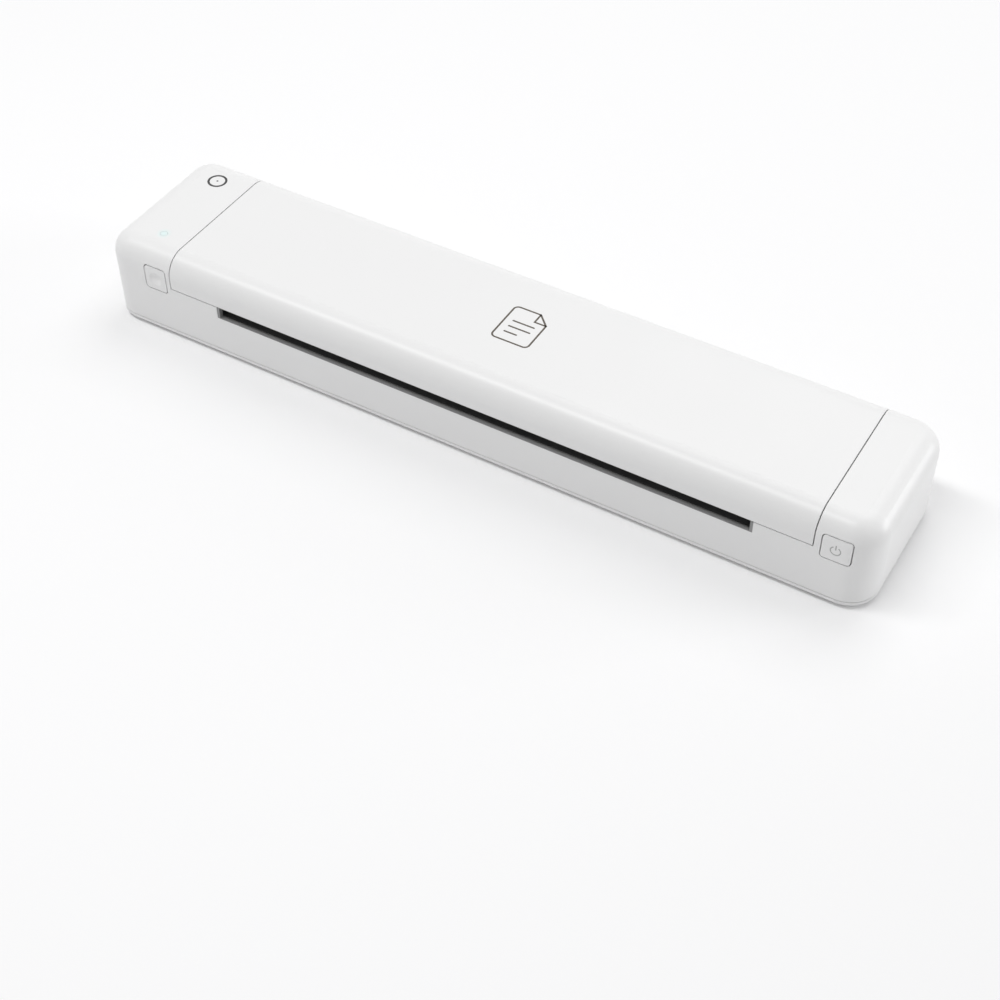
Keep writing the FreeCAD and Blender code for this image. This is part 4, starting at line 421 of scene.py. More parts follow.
# %% Moulded plastics
PATCH_PER_GRAIN = 90
SHELL_COLOURS = (grey(0.835), grey(0.85))
SHELL_GLOSS = (0.39, 0.31)
SHELL_GRAIN = 0.35
SHELL_ETCH = 0.006
SHELL_EDGE = 0.35
SHELL = (SHELL_COLOURS, SHELL_GLOSS, SHELL_GRAIN, SHELL_ETCH, SHELL_EDGE)
NYLON_GLOW_SHARE = 0.15
NYLON_GLOW_DEPTH = 0.6 * MM


def moulded(name, colours, gloss, grain, depth, radius, edge_colour=None):
    """Moulded plastic: two tones, a range of roughness, then its grain and its edges in mm."""
    finish, tree, shader, place = start_finish(name)
    etched = placed(tree, grain_group, place, {
        "Grain Size": grain * MM, "Patch Size": grain * PATCH_PER_GRAIN * MM})
    edges = placed(tree, edge_group, place, {"Radius": radius * MM})
    two_tone(tree, shader, etched["Patch"], colours, gloss, etched["Height"], depth * MM,
             edges["Normal"])
    if edge_colour is not None:
        lay_over(tree, shader, edges["Edge"], edge_colour)
    return finish


white_shell = moulded("white_shell", *SHELL)
dress(white_shell, "bottom_cover", "top_cover", "release_button", "power_button")
dark_guide = moulded("dark_guide_plastic", (grey(0.05), grey(0.062)), (0.46, 0.34), 0.3, 0.012, 0.3,
                     grey(0.1))
dress(dark_guide, "lower_sheet_guide", "cover_liner", "paper_sensor")
black_part = moulded("black_small_part", (grey(0.012), grey(0.02)), (0.45, 0.3), 0.2, 0.01, 0.15,
                     grey(0.05))
dress(black_part, "power_switch", "switch_plunger", "head_connector", "driver_cover")
chip_black = moulded("chip_black", (grey(0.02), grey(0.028)), (0.55, 0.42), 0.12, 0.008, 0.1,
                     grey(0.06))
dress(chip_black, "main_board_parts")
gear_nylon = moulded("gear_nylon", (grey(0.74, 0.09), grey(0.79, 0.07)), (0.42, 0.3), 0.2, 0.006,
                     0.12)
dress(gear_nylon, "platen_gear", "idler_gear")
nylon_shader = gear_nylon.node_tree.nodes["Principled BSDF"]
nylon_shader.inputs["Subsurface Weight"].default_value = NYLON_GLOW_SHARE
nylon_shader.inputs["Subsurface Scale"].default_value = NYLON_GLOW_DEPTH
print("plastics:", [m.name for m in (white_shell, dark_guide, black_part, chip_black, gear_nylon)])

# %% [markdown]
# ### Rubber
# The platen's sleeve is ground, so it has fine rings round it and a dull sheen where a sheet has
# polished it. It is a charcoal grey that stands out from the darker guide. The feet are moulded from
# the same soft rubber, so one finish serves both.

# %% Rubber
rubber, tree, shader, place = start_finish("soft_rubber")
ground = placed(tree, drawn_group, place, {"Stretch": (1.0, 0.08, 0.08), "Line Size": 0.18 * MM})
pebble = placed(tree, grain_group, place, {"Grain Size": 0.22 * MM, "Patch Size": 18 * MM})
plug(tree, shader.inputs["Base Color"], mixed(tree, pebble["Patch"], grey(0.1), grey(0.13)))
plug(tree, shader.inputs["Roughness"], between(tree, ground["Streak"], 0.42, 0.62))
plug(tree, shader.inputs["Normal"], bumped(tree, ground["Height"], 0.012 * MM))
dress(rubber, "rubber_feet", "platen_roller")
print("rubber:", len(tree.nodes), "nodes")

# %% [markdown]
# ### Metals
# Steel sheet, ground pins, plated screws and bronze bushes differ in colour, gloss and the run of
# their lines. One function makes them all. The streaks change the roughness and the colour a little,
# because a metal with a constant roughness looks like grey plastic.

# %% Metals
ALONG_X = (0.03, 1.0, 1.0)
ROUND_X = (1.0, 0.05, 0.05)
ALL_WAYS = (1.0, 1.0, 1.0)


def drawn(name, colour, dull, gloss, stretch, line, depth, radius=0.15):
    """A metal with lines in it. dull is the share of its colour in the streaks. Sizes are in mm."""
    finish, tree, shader, place = start_finish(name)
    lines = placed(tree, drawn_group, place, {"Stretch": stretch, "Line Size": line * MM})
    edges = placed(tree, edge_group, place, {"Radius": radius * MM})
    two_tone(tree, shader, lines["Streak"], (dimmed(colour, dull), colour), reversed(gloss),
             lines["Height"], depth * MM, edges["Normal"])
    plug(tree, shader.inputs["Metallic"], 1.0)
    return finish


dress(drawn("zinc_coated_sheet", grey(0.56, -0.02), 0.82, (0.3, 0.48), ALONG_X, 0.25, 0.006),
      "chassis_frame", "latch_hooks", "latch_keepers", "latch_lever")
dress(drawn("ground_steel", grey(0.63, -0.02), 0.85, (0.14, 0.3), ROUND_X, 0.15, 0.003),
      "hinge_pins", "platen_shaft", "idler_stud", "motor_shaft", "latch_shaft")
dress(drawn("zinc_plated_screw", grey(0.52, 0.04), 0.78, (0.22, 0.42), ALL_WAYS, 0.3, 0.008),
      "case_screws", "guide_screws", "liner_screws", "motor_screws", "board_screws",
      "shoulder_screws")
spring_steel = drawn("spring_steel", grey(0.5, -0.03), 0.8, (0.2, 0.36), ALL_WAYS, 0.2, 0.003, 0.05)
dress(spring_steel, "release_spring", "head_springs")
dress(drawn("sintered_bronze", (0.58, 0.4, 0.2, 1.0), 0.75, (0.32, 0.5), ALL_WAYS, 0.16, 0.008),
      "platen_bushes", "motor_pinion")
dress(drawn("motor_can", grey(0.5), 0.85, (0.25, 0.42), ROUND_X, 0.3, 0.005), "drive_motor")
dress(drawn("milled_aluminium", grey(0.72, -0.01), 0.86, (0.3, 0.46), ALONG_X, 0.2, 0.008),
      "heat_sink")
dress(drawn("nickel_plated_shell", grey(0.62, 0.03), 0.88, (0.14, 0.26), ALL_WAYS, 0.4, 0.003, 0.1),
      "usb_socket")
metals = [m.name for m in bpy.data.materials if m.node_tree
          and m.node_tree.nodes["Principled BSDF"].inputs["Metallic"].default_value == 1.0]
print("metals:", len(metals))

# %% [markdown]
# ### Circuit boards
# Green lacquer is a clear layer over a dark laminate, so the tracks under it show as a slightly
# lighter green and the bare plated holes as gold.

# %% Circuit boards
board, tree, shader, place = start_finish("board_lacquer")
tracks = placed(tree, print_group, place, {"Track Size": 0.7 * MM, "Hole Size": 3.5 * MM})
patches = placed(tree, grain_group, place, {"Grain Size": 0.5 * MM, "Patch Size": 20 * MM})
two_tone(tree, shader, patches["Patch"], ((0.006, 0.07, 0.032, 1.0), (0.01, 0.09, 0.04, 1.0)),
         (0.34, 0.22), tracks["Track"], 0.03 * MM)
lay_over(tree, shader, tracks["Track"], (0.02, 0.17, 0.07, 1.0))
lay_over(tree, shader, tracks["Hole"], (0.7, 0.5, 0.2, 1.0))
plug(tree, shader.inputs["Metallic"], between(tree, tracks["Hole"], 0.0, 1.0))
dress(board, "main_board", "switch_board", "led_board", "usb_board", "head_board")
print("board lacquer:", len(tree.nodes), "nodes")

# %% [markdown]
# ### The thermal head's ceramic
# The head is a glazed ceramic strip. A raised bead of brown glaze runs along its whole length, with
# the dark line of heating points on top. In front of the bead lies the silver band that feeds all
# the points, and behind it a fine comb of gold tracks leads to the chips under the black cover. The
# place across the strip decides which of these a point belongs to.

# %% Bands across the strip
HEAT_LINE_Y = -11.998 * MM
BEAD_HALF = 0.55 * MM
HEAT_POINT_HALF = 0.13 * MM
FEED_BAND = (-2.6 * MM, -0.9 * MM)
TRACK_BAND = (0.8 * MM, 3.4 * MM)
TRACK_PITCH = 0.42 * MM
TOOTH_SHARES = (0.22, 0.28)
BAND_EDGE = 0.03 * MM


def band(tree, value, low, high):
    """1 where value lies between low and high, with an edge of BAND_EDGE, and 0 elsewhere."""
    rise = ramp(tree, value, low - BAND_EDGE, low + BAND_EDGE)
    fall = ramp(tree, value, high + BAND_EDGE, high - BAND_EDGE)
    return calc(tree, "MULTIPLY", rise, fall)


# %% Ceramic
ceramic, tree, shader, place = start_finish("glazed_ceramic")
fired = placed(tree, grain_group, place, {"Grain Size": 0.3 * MM, "Patch Size": 12 * MM})
split = put(tree, "ShaderNodeSeparateXYZ", None, {"Vector": place})
across = calc(tree, "SUBTRACT", split.outputs["Y"], HEAT_LINE_Y)
comb = calc(tree, "PINGPONG", split.outputs["X"], TRACK_PITCH / 2)
teeth = ramp(tree, comb, *(share * TRACK_PITCH for share in TOOTH_SHARES))
tracks = calc(tree, "MULTIPLY", teeth, band(tree, across, *TRACK_BAND))
feed = band(tree, across, *FEED_BAND)
metal = calc(tree, "MAXIMUM", tracks, feed)
two_tone(tree, shader, fired["Patch"], ((0.7, 0.68, 0.62, 1.0), (0.76, 0.74, 0.69, 1.0)), (0.2, 0.3),
         metal, 0.01 * MM)
lay_over(tree, shader, tracks, (0.62, 0.43, 0.17, 1.0))
lay_over(tree, shader, feed, (0.5, 0.49, 0.47, 1.0))
lay_over(tree, shader, band(tree, across, -BEAD_HALF, BEAD_HALF), (0.23, 0.14, 0.075, 1.0))
lay_over(tree, shader, band(tree, across, -HEAT_POINT_HALF, HEAT_POINT_HALF), grey(0.03))
plug(tree, shader.inputs["Metallic"], between(tree, metal, 0.0, 0.85))
plug(tree, shader.inputs["Coat Weight"], 0.6)
plug(tree, shader.inputs["Coat Roughness"], 0.08)
dress(ceramic, "thermal_head")
print("ceramic:", len(tree.nodes), "nodes")

# %% [markdown]
# ### Battery and pads
# The pack is two flat cells in blue shrink film, which wrinkles slightly. The pads under it are open
# foam. A bump sinks the middle of each cell, and the colour is darker there, which is painted shade.

# %% Battery wrap and foam
FOAM_CELL = 0.4 * MM

battery_wrap, tree, shader, place = start_finish("shrink_film")
wrinkles = placed(tree, drawn_group, place, {"Stretch": (0.25, 1.0, 1.0), "Line Size": 2.2 * MM})
two_tone(tree, shader, wrinkles["Streak"], ((0.012, 0.05, 0.2, 1.0), (0.02, 0.075, 0.27, 1.0)),
         (0.22, 0.34), wrinkles["Height"], 0.12 * MM)
dress(battery_wrap, "battery_pack")

foam, tree, shader, place = start_finish("open_foam")
cells = put(tree, "ShaderNodeTexVoronoi", None, {"Vector": place, "Scale": 1 / FOAM_CELL})
pit_height_and_shade = cells.outputs["Distance"]
# Painted shade: the cells are darker in their pits, where the bump sinks them.
two_tone(tree, shader, pit_height_and_shade, (grey(0.015), grey(0.07)), (0.8, 0.95), pit_height_and_shade, 0.2 * MM)
dress(foam, "battery_pads")
print("battery wrap and foam are on")

# %% [markdown]
# ### Status lamp
# The lamp sits deep under a milky light pipe that ends flush with the white shell. When it is on,
# light spreads in the pipe and in the plastic round it, as a pale blue-green spot with no edge. That
# spot is painted light: a blue-green tint laid over the base colour of the housing and of the pipe,
# and the pipe also emits a faint light of its own. The distance from the pipe's axis gives the mask
# of that spot. The housing and the pipe share it, so the painted glow runs on over the joint between
# them.

# %% Painted lamp glow
lamp_low, lamp_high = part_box("light_pipe")
lamp_middle = (lamp_low + lamp_high) / 2
PAINTED_GLOW_SPOT = {"Middle": (lamp_middle.x, lamp_middle.y, lamp_high.z), "Radius": 3.8 * MM}
PAINTED_GLOW_TINT = (0.74, 0.865, 0.86, 1.0)
PIPE_DARK = (0.0, 0.0, 0.0, 1.0)
PIPE_LIGHT = (0.1, 0.85, 0.8, 1.0)
PIPE_STRENGTH = 0.015

painted_glow_group, given, out = start_group(
    "Painted lamp glow", {"Place": ORIGIN, "Middle": ORIGIN, "Radius": 3 * MM}, {"Glow": "Float"})
away = vectors(painted_glow_group, "DISTANCE", given["Place"], given["Middle"])["Value"]
fading = put(painted_glow_group, "ShaderNodeMapRange", {"interpolation_type": "SMOOTHERSTEP"}, {
    "Value": away, "From Min": given["Radius"], "From Max": 0.0})
plug(painted_glow_group, out["Glow"], fading.outputs["Result"])
print("lamp window is centred at", [round(part / MM, 2) for part in lamp_middle])

# %% Shell and light pipe with the lamp's glow painted on
shell_with_painted_glow = moulded("white_shell_by_lamp", *SHELL)
tree = shell_with_painted_glow.node_tree
place = put(tree, "ShaderNodeTexCoord").outputs["Object"]
glow = placed(tree, painted_glow_group, place, PAINTED_GLOW_SPOT)["Glow"]
# Painted light: the lamp's glow is laid over the housing's base colour as a blue-green tint.
lay_over(tree, tree.nodes["Principled BSDF"], glow, PAINTED_GLOW_TINT)
dress(shell_with_painted_glow, "main_housing")

light_pipe, tree, shader, place = start_finish("milky_light_pipe")
glow = placed(tree, painted_glow_group, place, PAINTED_GLOW_SPOT)["Glow"]
etched = placed(tree, grain_group, place, {"Grain Size": SHELL_GRAIN * MM, "Patch Size": 30 * MM})
# Painted light: the pipe's base colour turns to the glow's tint towards its middle.
plug(tree, shader.inputs["Base Color"], mixed(tree, glow, SHELL_COLOURS[0], PAINTED_GLOW_TINT))
plug(tree, shader.inputs["Roughness"], between(tree, etched["Patch"], *SHELL_GLOSS))
plug(tree, shader.inputs["Emission Color"], mixed(tree, glow, PIPE_DARK, PIPE_LIGHT))
plug(tree, shader.inputs["Emission Strength"], PIPE_STRENGTH)
dress(light_pipe, "light_pipe")

lamp_resin, tree, shader, place = start_finish("lamp_resin")
cloudy = placed(tree, grain_group, place, {"Grain Size": 0.3 * MM, "Patch Size": 2 * MM})
two_tone(tree, shader, cloudy["Patch"], ((0.75, 0.66, 0.3, 1.0), (0.85, 0.8, 0.5, 1.0)), (0.18, 0.3))
dress(lamp_resin, "status_led")
print("lamp finishes:", shell_with_painted_glow.name, light_pipe.name, lamp_resin.name)

# %% [markdown]
# ### Wire sleeves and ribbon film
# Silicone wire is soft and a little glossy. Each colour is its own finish from one function. The flat
# ribbon is white film with parallel tinned conductors that show through as grey stripes along it.

# %% Wire colours
SLEEVE_DULL_SHARE = 0.85


def sleeve(name, colour):
    """Soft wire sleeve of one colour."""
    finish, tree, shader, place = start_finish(name)
    skin = placed(tree, grain_group, place, {"Grain Size": 0.2 * MM, "Patch Size": 6 * MM})
    two_tone(tree, shader, skin["Patch"], (dimmed(colour, SLEEVE_DULL_SHARE), colour), (0.34, 0.46),
             skin["Height"], 0.004 * MM)
    return finish


wire_red = sleeve("red_wire", (0.55, 0.02, 0.015, 1.0))
wire_black = sleeve("black_wire", grey(0.02))
wire_yellow = sleeve("yellow_wire", (0.75, 0.5, 0.03, 1.0))
wire_blue = sleeve("blue_wire", (0.02, 0.1, 0.42, 1.0))
wire_white = sleeve("white_wire", grey(0.72, 0.03))
dress(wire_black, "motor_cable", "led_cable", "switch_cable", "usb_cable", "battery_leads")
print("wire colours:", [m.name for m in (wire_red, wire_black, wire_yellow, wire_blue, wire_white)])

# %% Ribbon film
RIBBON_LOW, RIBBON_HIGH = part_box("head_ribbon")
CONDUCTORS = 14
STRIPE_HALF_SHARE = 0.5
STRIPE_EDGE = (0.2, 0.26)

ribbon_film, tree, shader, place = start_finish("ribbon_film")
split = put(tree, "ShaderNodeSeparateXYZ", None, {"Vector": place})
across = ramp(tree, split.outputs["X"], RIBBON_LOW.x, RIBBON_HIGH.x, 0.0, CONDUCTORS)
stripe = ramp(tree, calc(tree, "PINGPONG", across, STRIPE_HALF_SHARE), *STRIPE_EDGE)
two_tone(tree, shader, stripe, (grey(0.78), grey(0.42, -0.05)), (0.32, 0.24), stripe, 0.03 * MM)
dress(ribbon_film, "head_ribbon")
print("ribbon has", CONDUCTORS, "conductors")

# %% [markdown]
# ## Wound springs
# A spring is a wire of constant thickness on a helix, with its last turns closed so that it stands
# flat. It could be a Screw modifier, but a helix worked out point by point keeps the closed ends, and
# the tube is built round it with a frame that never twists.

# %% Helpers for meshes
def mesh_object(name, points, faces, finish, smooth=True):
    """A mesh from points and faces, with one finish, in the printer's own frame."""
    mesh = bpy.data.meshes.new(name)
    mesh.from_pydata(points, [], faces)
    mesh.validate()
    mesh.materials.append(finish)
    mesh.polygons.foreach_set("use_smooth", [smooth] * len(mesh.polygons))
    made = bpy.data.objects.new(name, mesh)
    scene.collection.objects.link(made)
    return made


def headings(path):
    """The direction of a path at each of its points."""
    last = len(path) - 1
    return [(path[min(i + 1, last)] - path[max(i - 1, 0)]).normalized() for i in range(last + 1)]


def carried_frames(path):
    """Two directions across a path at each of its points, carried along it without a twist."""
    frames = []
    side = None
    for forward in headings(path):
        if side is None:
            side = forward.orthogonal().normalized()
        side = (side - forward * side.dot(forward)).normalized()
        frames.append((side, forward.cross(side)))
    return frames


def ring_faces(rows, ring):
    """Faces of a closed skin over rows of ring points each, with a cap at both ends."""
    faces = []
    for row in range(rows - 1):
        low, high = row * ring, (row + 1) * ring
        for step in range(ring):
            after = (step + 1) % ring
            faces.append((low + step, low + after, high + after, high + step))
    faces.append(tuple(reversed(range(ring))))
    faces.append(tuple(range((rows - 1) * ring, rows * ring)))
    return faces


def tube(path, radius, sides):
    """Points and faces of a closed round tube along a path."""
    points = []
    for spot, (side, up) in zip(path, carried_frames(path)):
        for step in range(sides):
            turn = 2 * math.pi * step / sides
            points.append(spot + radius * (math.cos(turn) * side + math.sin(turn) * up))
    return points, ring_faces(len(path), sides)


# %% Coil springs
CLOSED_TURNS = 0.8
STEPS_PER_TURN = 40
SPRING_SIDES = 12
RELEASE_COIL_R = 2.0 * MM
RELEASE_WIRE_R = 0.25 * MM
RELEASE_TURNS = 6


def coil_path(radius, wire_r, turns, length):
    """A helix along +Z from 0 to length, closed at both ends."""
    path = []
    open_turns = turns - 2 * CLOSED_TURNS
    closed_rise = 2 * wire_r * CLOSED_TURNS
    open_rise = length - 2 * wire_r - 2 * closed_rise
    steps = round(turns * STEPS_PER_TURN)
    for step in range(steps + 1):
        turn = turns * step / steps
        low = min(turn, CLOSED_TURNS) * 2 * wire_r
        middle = min(max(turn - CLOSED_TURNS, 0), open_turns) / open_turns * open_rise
        high = max(turn - CLOSED_TURNS - open_turns, 0) * 2 * wire_r
        angle = 2 * math.pi * turn
        path.append(Vector((radius * math.cos(angle), radius * math.sin(angle),
                            wire_r + low + middle + high)))
    return path


def coil_spring(name, start, axis, radius, wire_r, turns, length):
    """A spring from start along axis, as one smooth mesh."""
    turn = Vector((0, 0, 1)).rotation_difference(Vector(axis))
    path = [turn @ spot + Vector(start) for spot in coil_path(radius, wire_r, turns, length)]
    return mesh_object(name, *tube(path, wire_r, SPRING_SIDES), spring_steel)


release_low, release_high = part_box("release_spring")
release_middle = (release_low + release_high) / 2
release_coil = coil_spring(
    "release_coil", (release_middle.x, release_low.y, release_middle.z), (0, 1, 0), RELEASE_COIL_R,
    RELEASE_WIRE_R, RELEASE_TURNS, release_high.y - release_low.y)
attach(release_coil, "base")
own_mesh(release_coil)
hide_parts("release_spring")
print("release spring:", len(release_coil.data.polygons), "faces")

# %% Head springs
HEAD_COIL_R = 3.4 * MM
HEAD_WIRE_R = 0.35 * MM
HEAD_TURNS = 4.5

head_low, head_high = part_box("head_springs")
head_middle = (head_low + head_high) / 2
head_reach = (head_high.x - head_low.x) / 2 - HEAD_COIL_R - HEAD_WIRE_R
for label, side in (("left", -1), ("middle", 0), ("right", 1)):
    place_x = head_middle.x + side * head_reach
    coil = coil_spring("head_coil_" + label, (place_x, head_middle.y, head_low.z), (0, 0, 1),
                       HEAD_COIL_R, HEAD_WIRE_R, HEAD_TURNS, head_high.z - head_low.z)
    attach(coil, "cover")
    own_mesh(coil)
    if label == "left":
        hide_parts("head_springs")
    print("head spring", label, "stands at x", round(place_x / MM, 2))

# %% [markdown]
# ## Leads and small parts on the boards
# The CAD model has the chips, the capacitor and the plugs as plain bodies. What makes a board look
# real is what is soldered round them: the bent tin leads of the chips, and rows of tiny resistors and
# capacitors with a metal cap at each end. Each kind is one mesh with all of its copies.

# %% Board values in mm
BOARD_FRONT = 6.4017
BOARD_DEPTH = 17.3967
BOARD_START = 22.25
BOARD_SPAN = 110.0
BOARD_TOP = 8.6
LEAD_PITCH = 0.8
LEAD_W = 0.34
LEAD_T = 0.16
LEAD_REACH = 0.85
LEAD_SUNK = 0.05
LEAD_SHOULDER_SHARE = 0.35
LEAD_FOOT_SHARE = 0.55
CHIP_SIDE_MARGIN = 0.8
CHIP_SHARES = ((0.28, 0.40, 0.46, 0.46, 0.08), (0.42, 0.44, 0.34, 0.34, 0.07),
               (0.55, 0.30, 0.24, 0.18, 0.12))

tin = drawn("tinned_leads", grey(0.66, 0.02), 0.85, (0.24, 0.4), ALL_WAYS, 0.2, 0.003, 0.04)
part_tan = moulded("ceramic_capacitor", ((0.42, 0.27, 0.14, 1.0), (0.48, 0.31, 0.17, 1.0)),
                   (0.5, 0.38), 0.1, 0.004, 0.05)
part_black = moulded("thick_film_resistor", (grey(0.025), grey(0.035)), (0.35, 0.25), 0.1, 0.003,
                     0.05)

# %% Helpers for small parts
BRICK_FACES = ((0, 3, 2, 1), (4, 5, 6, 7), (0, 1, 5, 4), (1, 2, 6, 5), (2, 3, 7, 6), (3, 0, 4, 7))


def brick(points, faces, low, high):
    """Adds a brick between two corners, in mm, to a mesh that is being made."""
    first = len(points)
    for z in (low[2], high[2]):
        points += [Vector((x, y, z)) * MM for x, y in (
            (low[0], low[1]), (high[0], low[1]), (high[0], high[1]), (low[0], high[1]))]
    for face in BRICK_FACES:
        faces.append(tuple(first + corner for corner in face))


def bent_lead(points, faces, root, out, along, board_z, chip_half_h):
    """A gull-wing lead: out of the chip's side at half its height, down, and out over its pad."""
    profile = [(-LEAD_SUNK, chip_half_h), (LEAD_REACH * LEAD_SHOULDER_SHARE, chip_half_h),
               (LEAD_REACH * LEAD_FOOT_SHARE, LEAD_T), (LEAD_REACH, LEAD_T)]
    first = len(points)
    for reach, height in profile:
        for side in (-1, 1):
            for rise in (0, -LEAD_T):
                spot = root + out * reach + along * side * LEAD_W / 2
                points.append(Vector((spot.x, spot.y, board_z + height + rise)) * MM)
    for step in range(len(profile) - 1):
        a, b = first + 4 * step, first + 4 * (step + 1)
        for one, two in ((0, 2), (2, 3), (3, 1), (1, 0)):
            faces.append((a + one, a + two, b + two, b + one))
    last = first + 4 * (len(profile) - 1)
    faces.append((first, first + 1, first + 3, first + 2))
    faces.append((last, last + 2, last + 3, last + 1))


def solid(name, points, faces, finish, body):
    """One piece from gathered points and faces, with every face turned outwards."""
    made = mesh_object(name, points, faces, finish, smooth=False)
    shape = bmesh.new()
    shape.from_mesh(made.data)
    bmesh.ops.recalc_face_normals(shape, faces=shape.faces)
    shape.to_mesh(made.data)
    shape.free()
    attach(made, body)
    print(name + ":", len(made.data.polygons), "faces")


# %% Chip leads
points, faces = [], []
for along_share, across_share, *size_shares in CHIP_SHARES:
    middle = Vector((BOARD_START + along_share * BOARD_SPAN,
                     BOARD_FRONT + across_share * BOARD_DEPTH, 0))
    half_w, half_d, half_h = (share * BOARD_DEPTH / 2 for share in size_shares)
    for out_x, out_y in ((1, 0), (-1, 0), (0, 1), (0, -1)):
        out = Vector((out_x, out_y, 0))
        along = Vector((abs(out_y), abs(out_x), 0))
        reach, run = (half_w, half_d) if out_x else (half_d, half_w)
        leads = int((2 * run - CHIP_SIDE_MARGIN) / LEAD_PITCH)
        for lead in range(leads):
            spot = middle + out * reach + along * (lead - (leads - 1) / 2) * LEAD_PITCH
            bent_lead(points, faces, spot, out, along, BOARD_TOP, half_h)
solid("chip_leads", points, faces, tin, "base")

# %% Rows of small parts
SMALL_L = 1.6
SMALL_W = 0.8
SMALL_H = 0.5
CAP_L = 0.3
CAP_PROUD = 0.03
SMALL_STEP = 1.5
MAIN_ROWS = ((43.8, 11.6, 3, part_tan), (43.8, 15.4, 3, part_black), (59.3, 11.6, 3, part_black),
             (59.3, 18.6, 3, part_tan), (73.5, 11.0, 5, part_tan), (73.5, 18.6, 5, part_black),
             (86.5, 11.0, 5, part_black), (86.5, 18.9, 5, part_tan), (104.5, 11.0, 6, part_black),
             (104.5, 14.6, 6, part_tan), (104.5, 19.0, 6, part_black))
HEAD_ROWS = ((121.4, -5.3, 3, part_tan), (127.0, -5.3, 3, part_black))
HEAD_BOARD_LOW = 25.7


def small_parts(label, rows, face_z, up, body):
    """Rows of two-ended parts on one face of a board, which up says (1 for its top)."""
    cap_points, cap_faces = [], []
    middles = {}
    low_z, high_z = sorted((face_z, face_z + up * SMALL_H))
    for start_x, y, count, finish in rows:
        kind_points, kind_faces = middles.setdefault(finish.name, ([], []))
        for step in range(count):
            x = start_x + SMALL_STEP * step
            brick(kind_points, kind_faces,
                  (x - SMALL_W / 2 + CAP_PROUD, y - SMALL_L / 2 + CAP_L, low_z + CAP_PROUD),
                  (x + SMALL_W / 2 - CAP_PROUD, y + SMALL_L / 2 - CAP_L, high_z - CAP_PROUD))
            for end in (-1, 1):
                edge = y + end * SMALL_L / 2
                inner = edge - end * CAP_L
                brick(cap_points, cap_faces, (x - SMALL_W / 2, min(edge, inner), low_z),
                      (x + SMALL_W / 2, max(edge, inner), high_z))
    solid(label + "_caps", cap_points, cap_faces, tin, body)
    for kind, (kind_points, kind_faces) in middles.items():
        finish = bpy.data.materials[kind]
        solid(label + "_" + kind, kind_points, kind_faces, finish, body)


small_parts("main_board", MAIN_ROWS, BOARD_TOP, 1, "base")
small_parts("head_board", HEAD_ROWS, HEAD_BOARD_LOW, -1, "print_head")

# %% [markdown]
# ## Edge of the sheet slot
# A thin mid-grey strip lies on the sill and the two ends of the front slot, over the cut edge of the
# white wall, so the slot shows as one dark line with a grey border.

# %% Slot edge
SLOT_X0 = -104.5
SLOT_X1 = 113.5
SLOT_SILL_Z = 18.7
SLOT_ROOF_Z = 23.6
EDGE_Y0 = -31.9
EDGE_Y1 = -30.1
EDGE_SILL_T = 0.25
EDGE_END_T = 1.1

slot_edge = moulded("slot_edge_plastic", (grey(0.24), grey(0.28)), (0.5, 0.4), 0.3, 0.012, 0.3,
                    grey(0.34))
end_low = SLOT_SILL_Z + EDGE_SILL_T
points, faces = [], []
brick(points, faces, (SLOT_X0, EDGE_Y0, SLOT_SILL_Z), (SLOT_X1, EDGE_Y1, end_low))
for x in (SLOT_X0, SLOT_X1 - EDGE_END_T):
    brick(points, faces, (x, EDGE_Y0, end_low), (x + EDGE_END_T, EDGE_Y1, SLOT_ROOF_Z))
solid("slot_edge_strip", points, faces, slot_edge, "base")

# %% [markdown]
# ## Flat ribbon
# The ribbon carries the picture's data to the head, and is the only wiring that has to bend when the
# cover opens. It is a strip of film that rises behind the main board and turns over into the cover.
# So the film is made as two lengths that meet on the cover.

# %% Route helper
def smooth_route(name, stops, resolution=12):
    """Points along a NURBS curve that has the stops as its control points."""
    data = bpy.data.curves.new(name, "CURVE")
    data.dimensions = "3D"
    data.resolution_u = resolution
    spline = data.splines.new("NURBS")
    spline.points.add(len(stops) - 1)
    for point, stop in zip(spline.points, stops):
        point.co = (*stop, 1.0)
    spline.order_u = 3
    spline.use_endpoint_u = True
    holder = bpy.data.objects.new(name, data)
    scene.collection.objects.link(holder)
    bpy.context.view_layer.update()
    sampled = bpy.data.meshes.new_from_object(holder)
    route = [Vector(vertex.co) for vertex in sampled.vertices]
    bpy.data.objects.remove(holder)
    bpy.data.curves.remove(data)
    bpy.data.meshes.remove(sampled)
    return route


# %% Ribbon
RIBBON_T = 0.25 * MM
RIBBON_RESOLUTION = 16
RIBBON_STOPS_MM = [(13.0, 9.6), (22.44, 9.6), (26.1, 13.26), (26.1, 24.24), (22.44, 28.2),
                   (1.7, 28.2), (-0.4, 27.9), (-4.3, 27.9)]
RIBBON_MEETING_Y = 14 * MM
FILM_COLUMNS = 14


def film_strip(name, route):
    """A length of the ribbon with its real thickness, whose middle follows route."""
    width = RIBBON_HIGH.x - RIBBON_LOW.x
    spread = [RIBBON_LOW.x + width * column / FILM_COLUMNS for column in range(FILM_COLUMNS + 1)]
    points = []
    for spot, forward in zip(route, headings(route)):
        normal = Vector((0, -forward.z, forward.y)) * RIBBON_T / 2
        points += [Vector((x, spot.y, spot.z)) + normal for x in spread]
        points += [Vector((x, spot.y, spot.z)) - normal for x in reversed(spread)]
    return mesh_object(name, points, ring_faces(len(route), 2 * len(spread)), ribbon_film,
                       smooth=False)


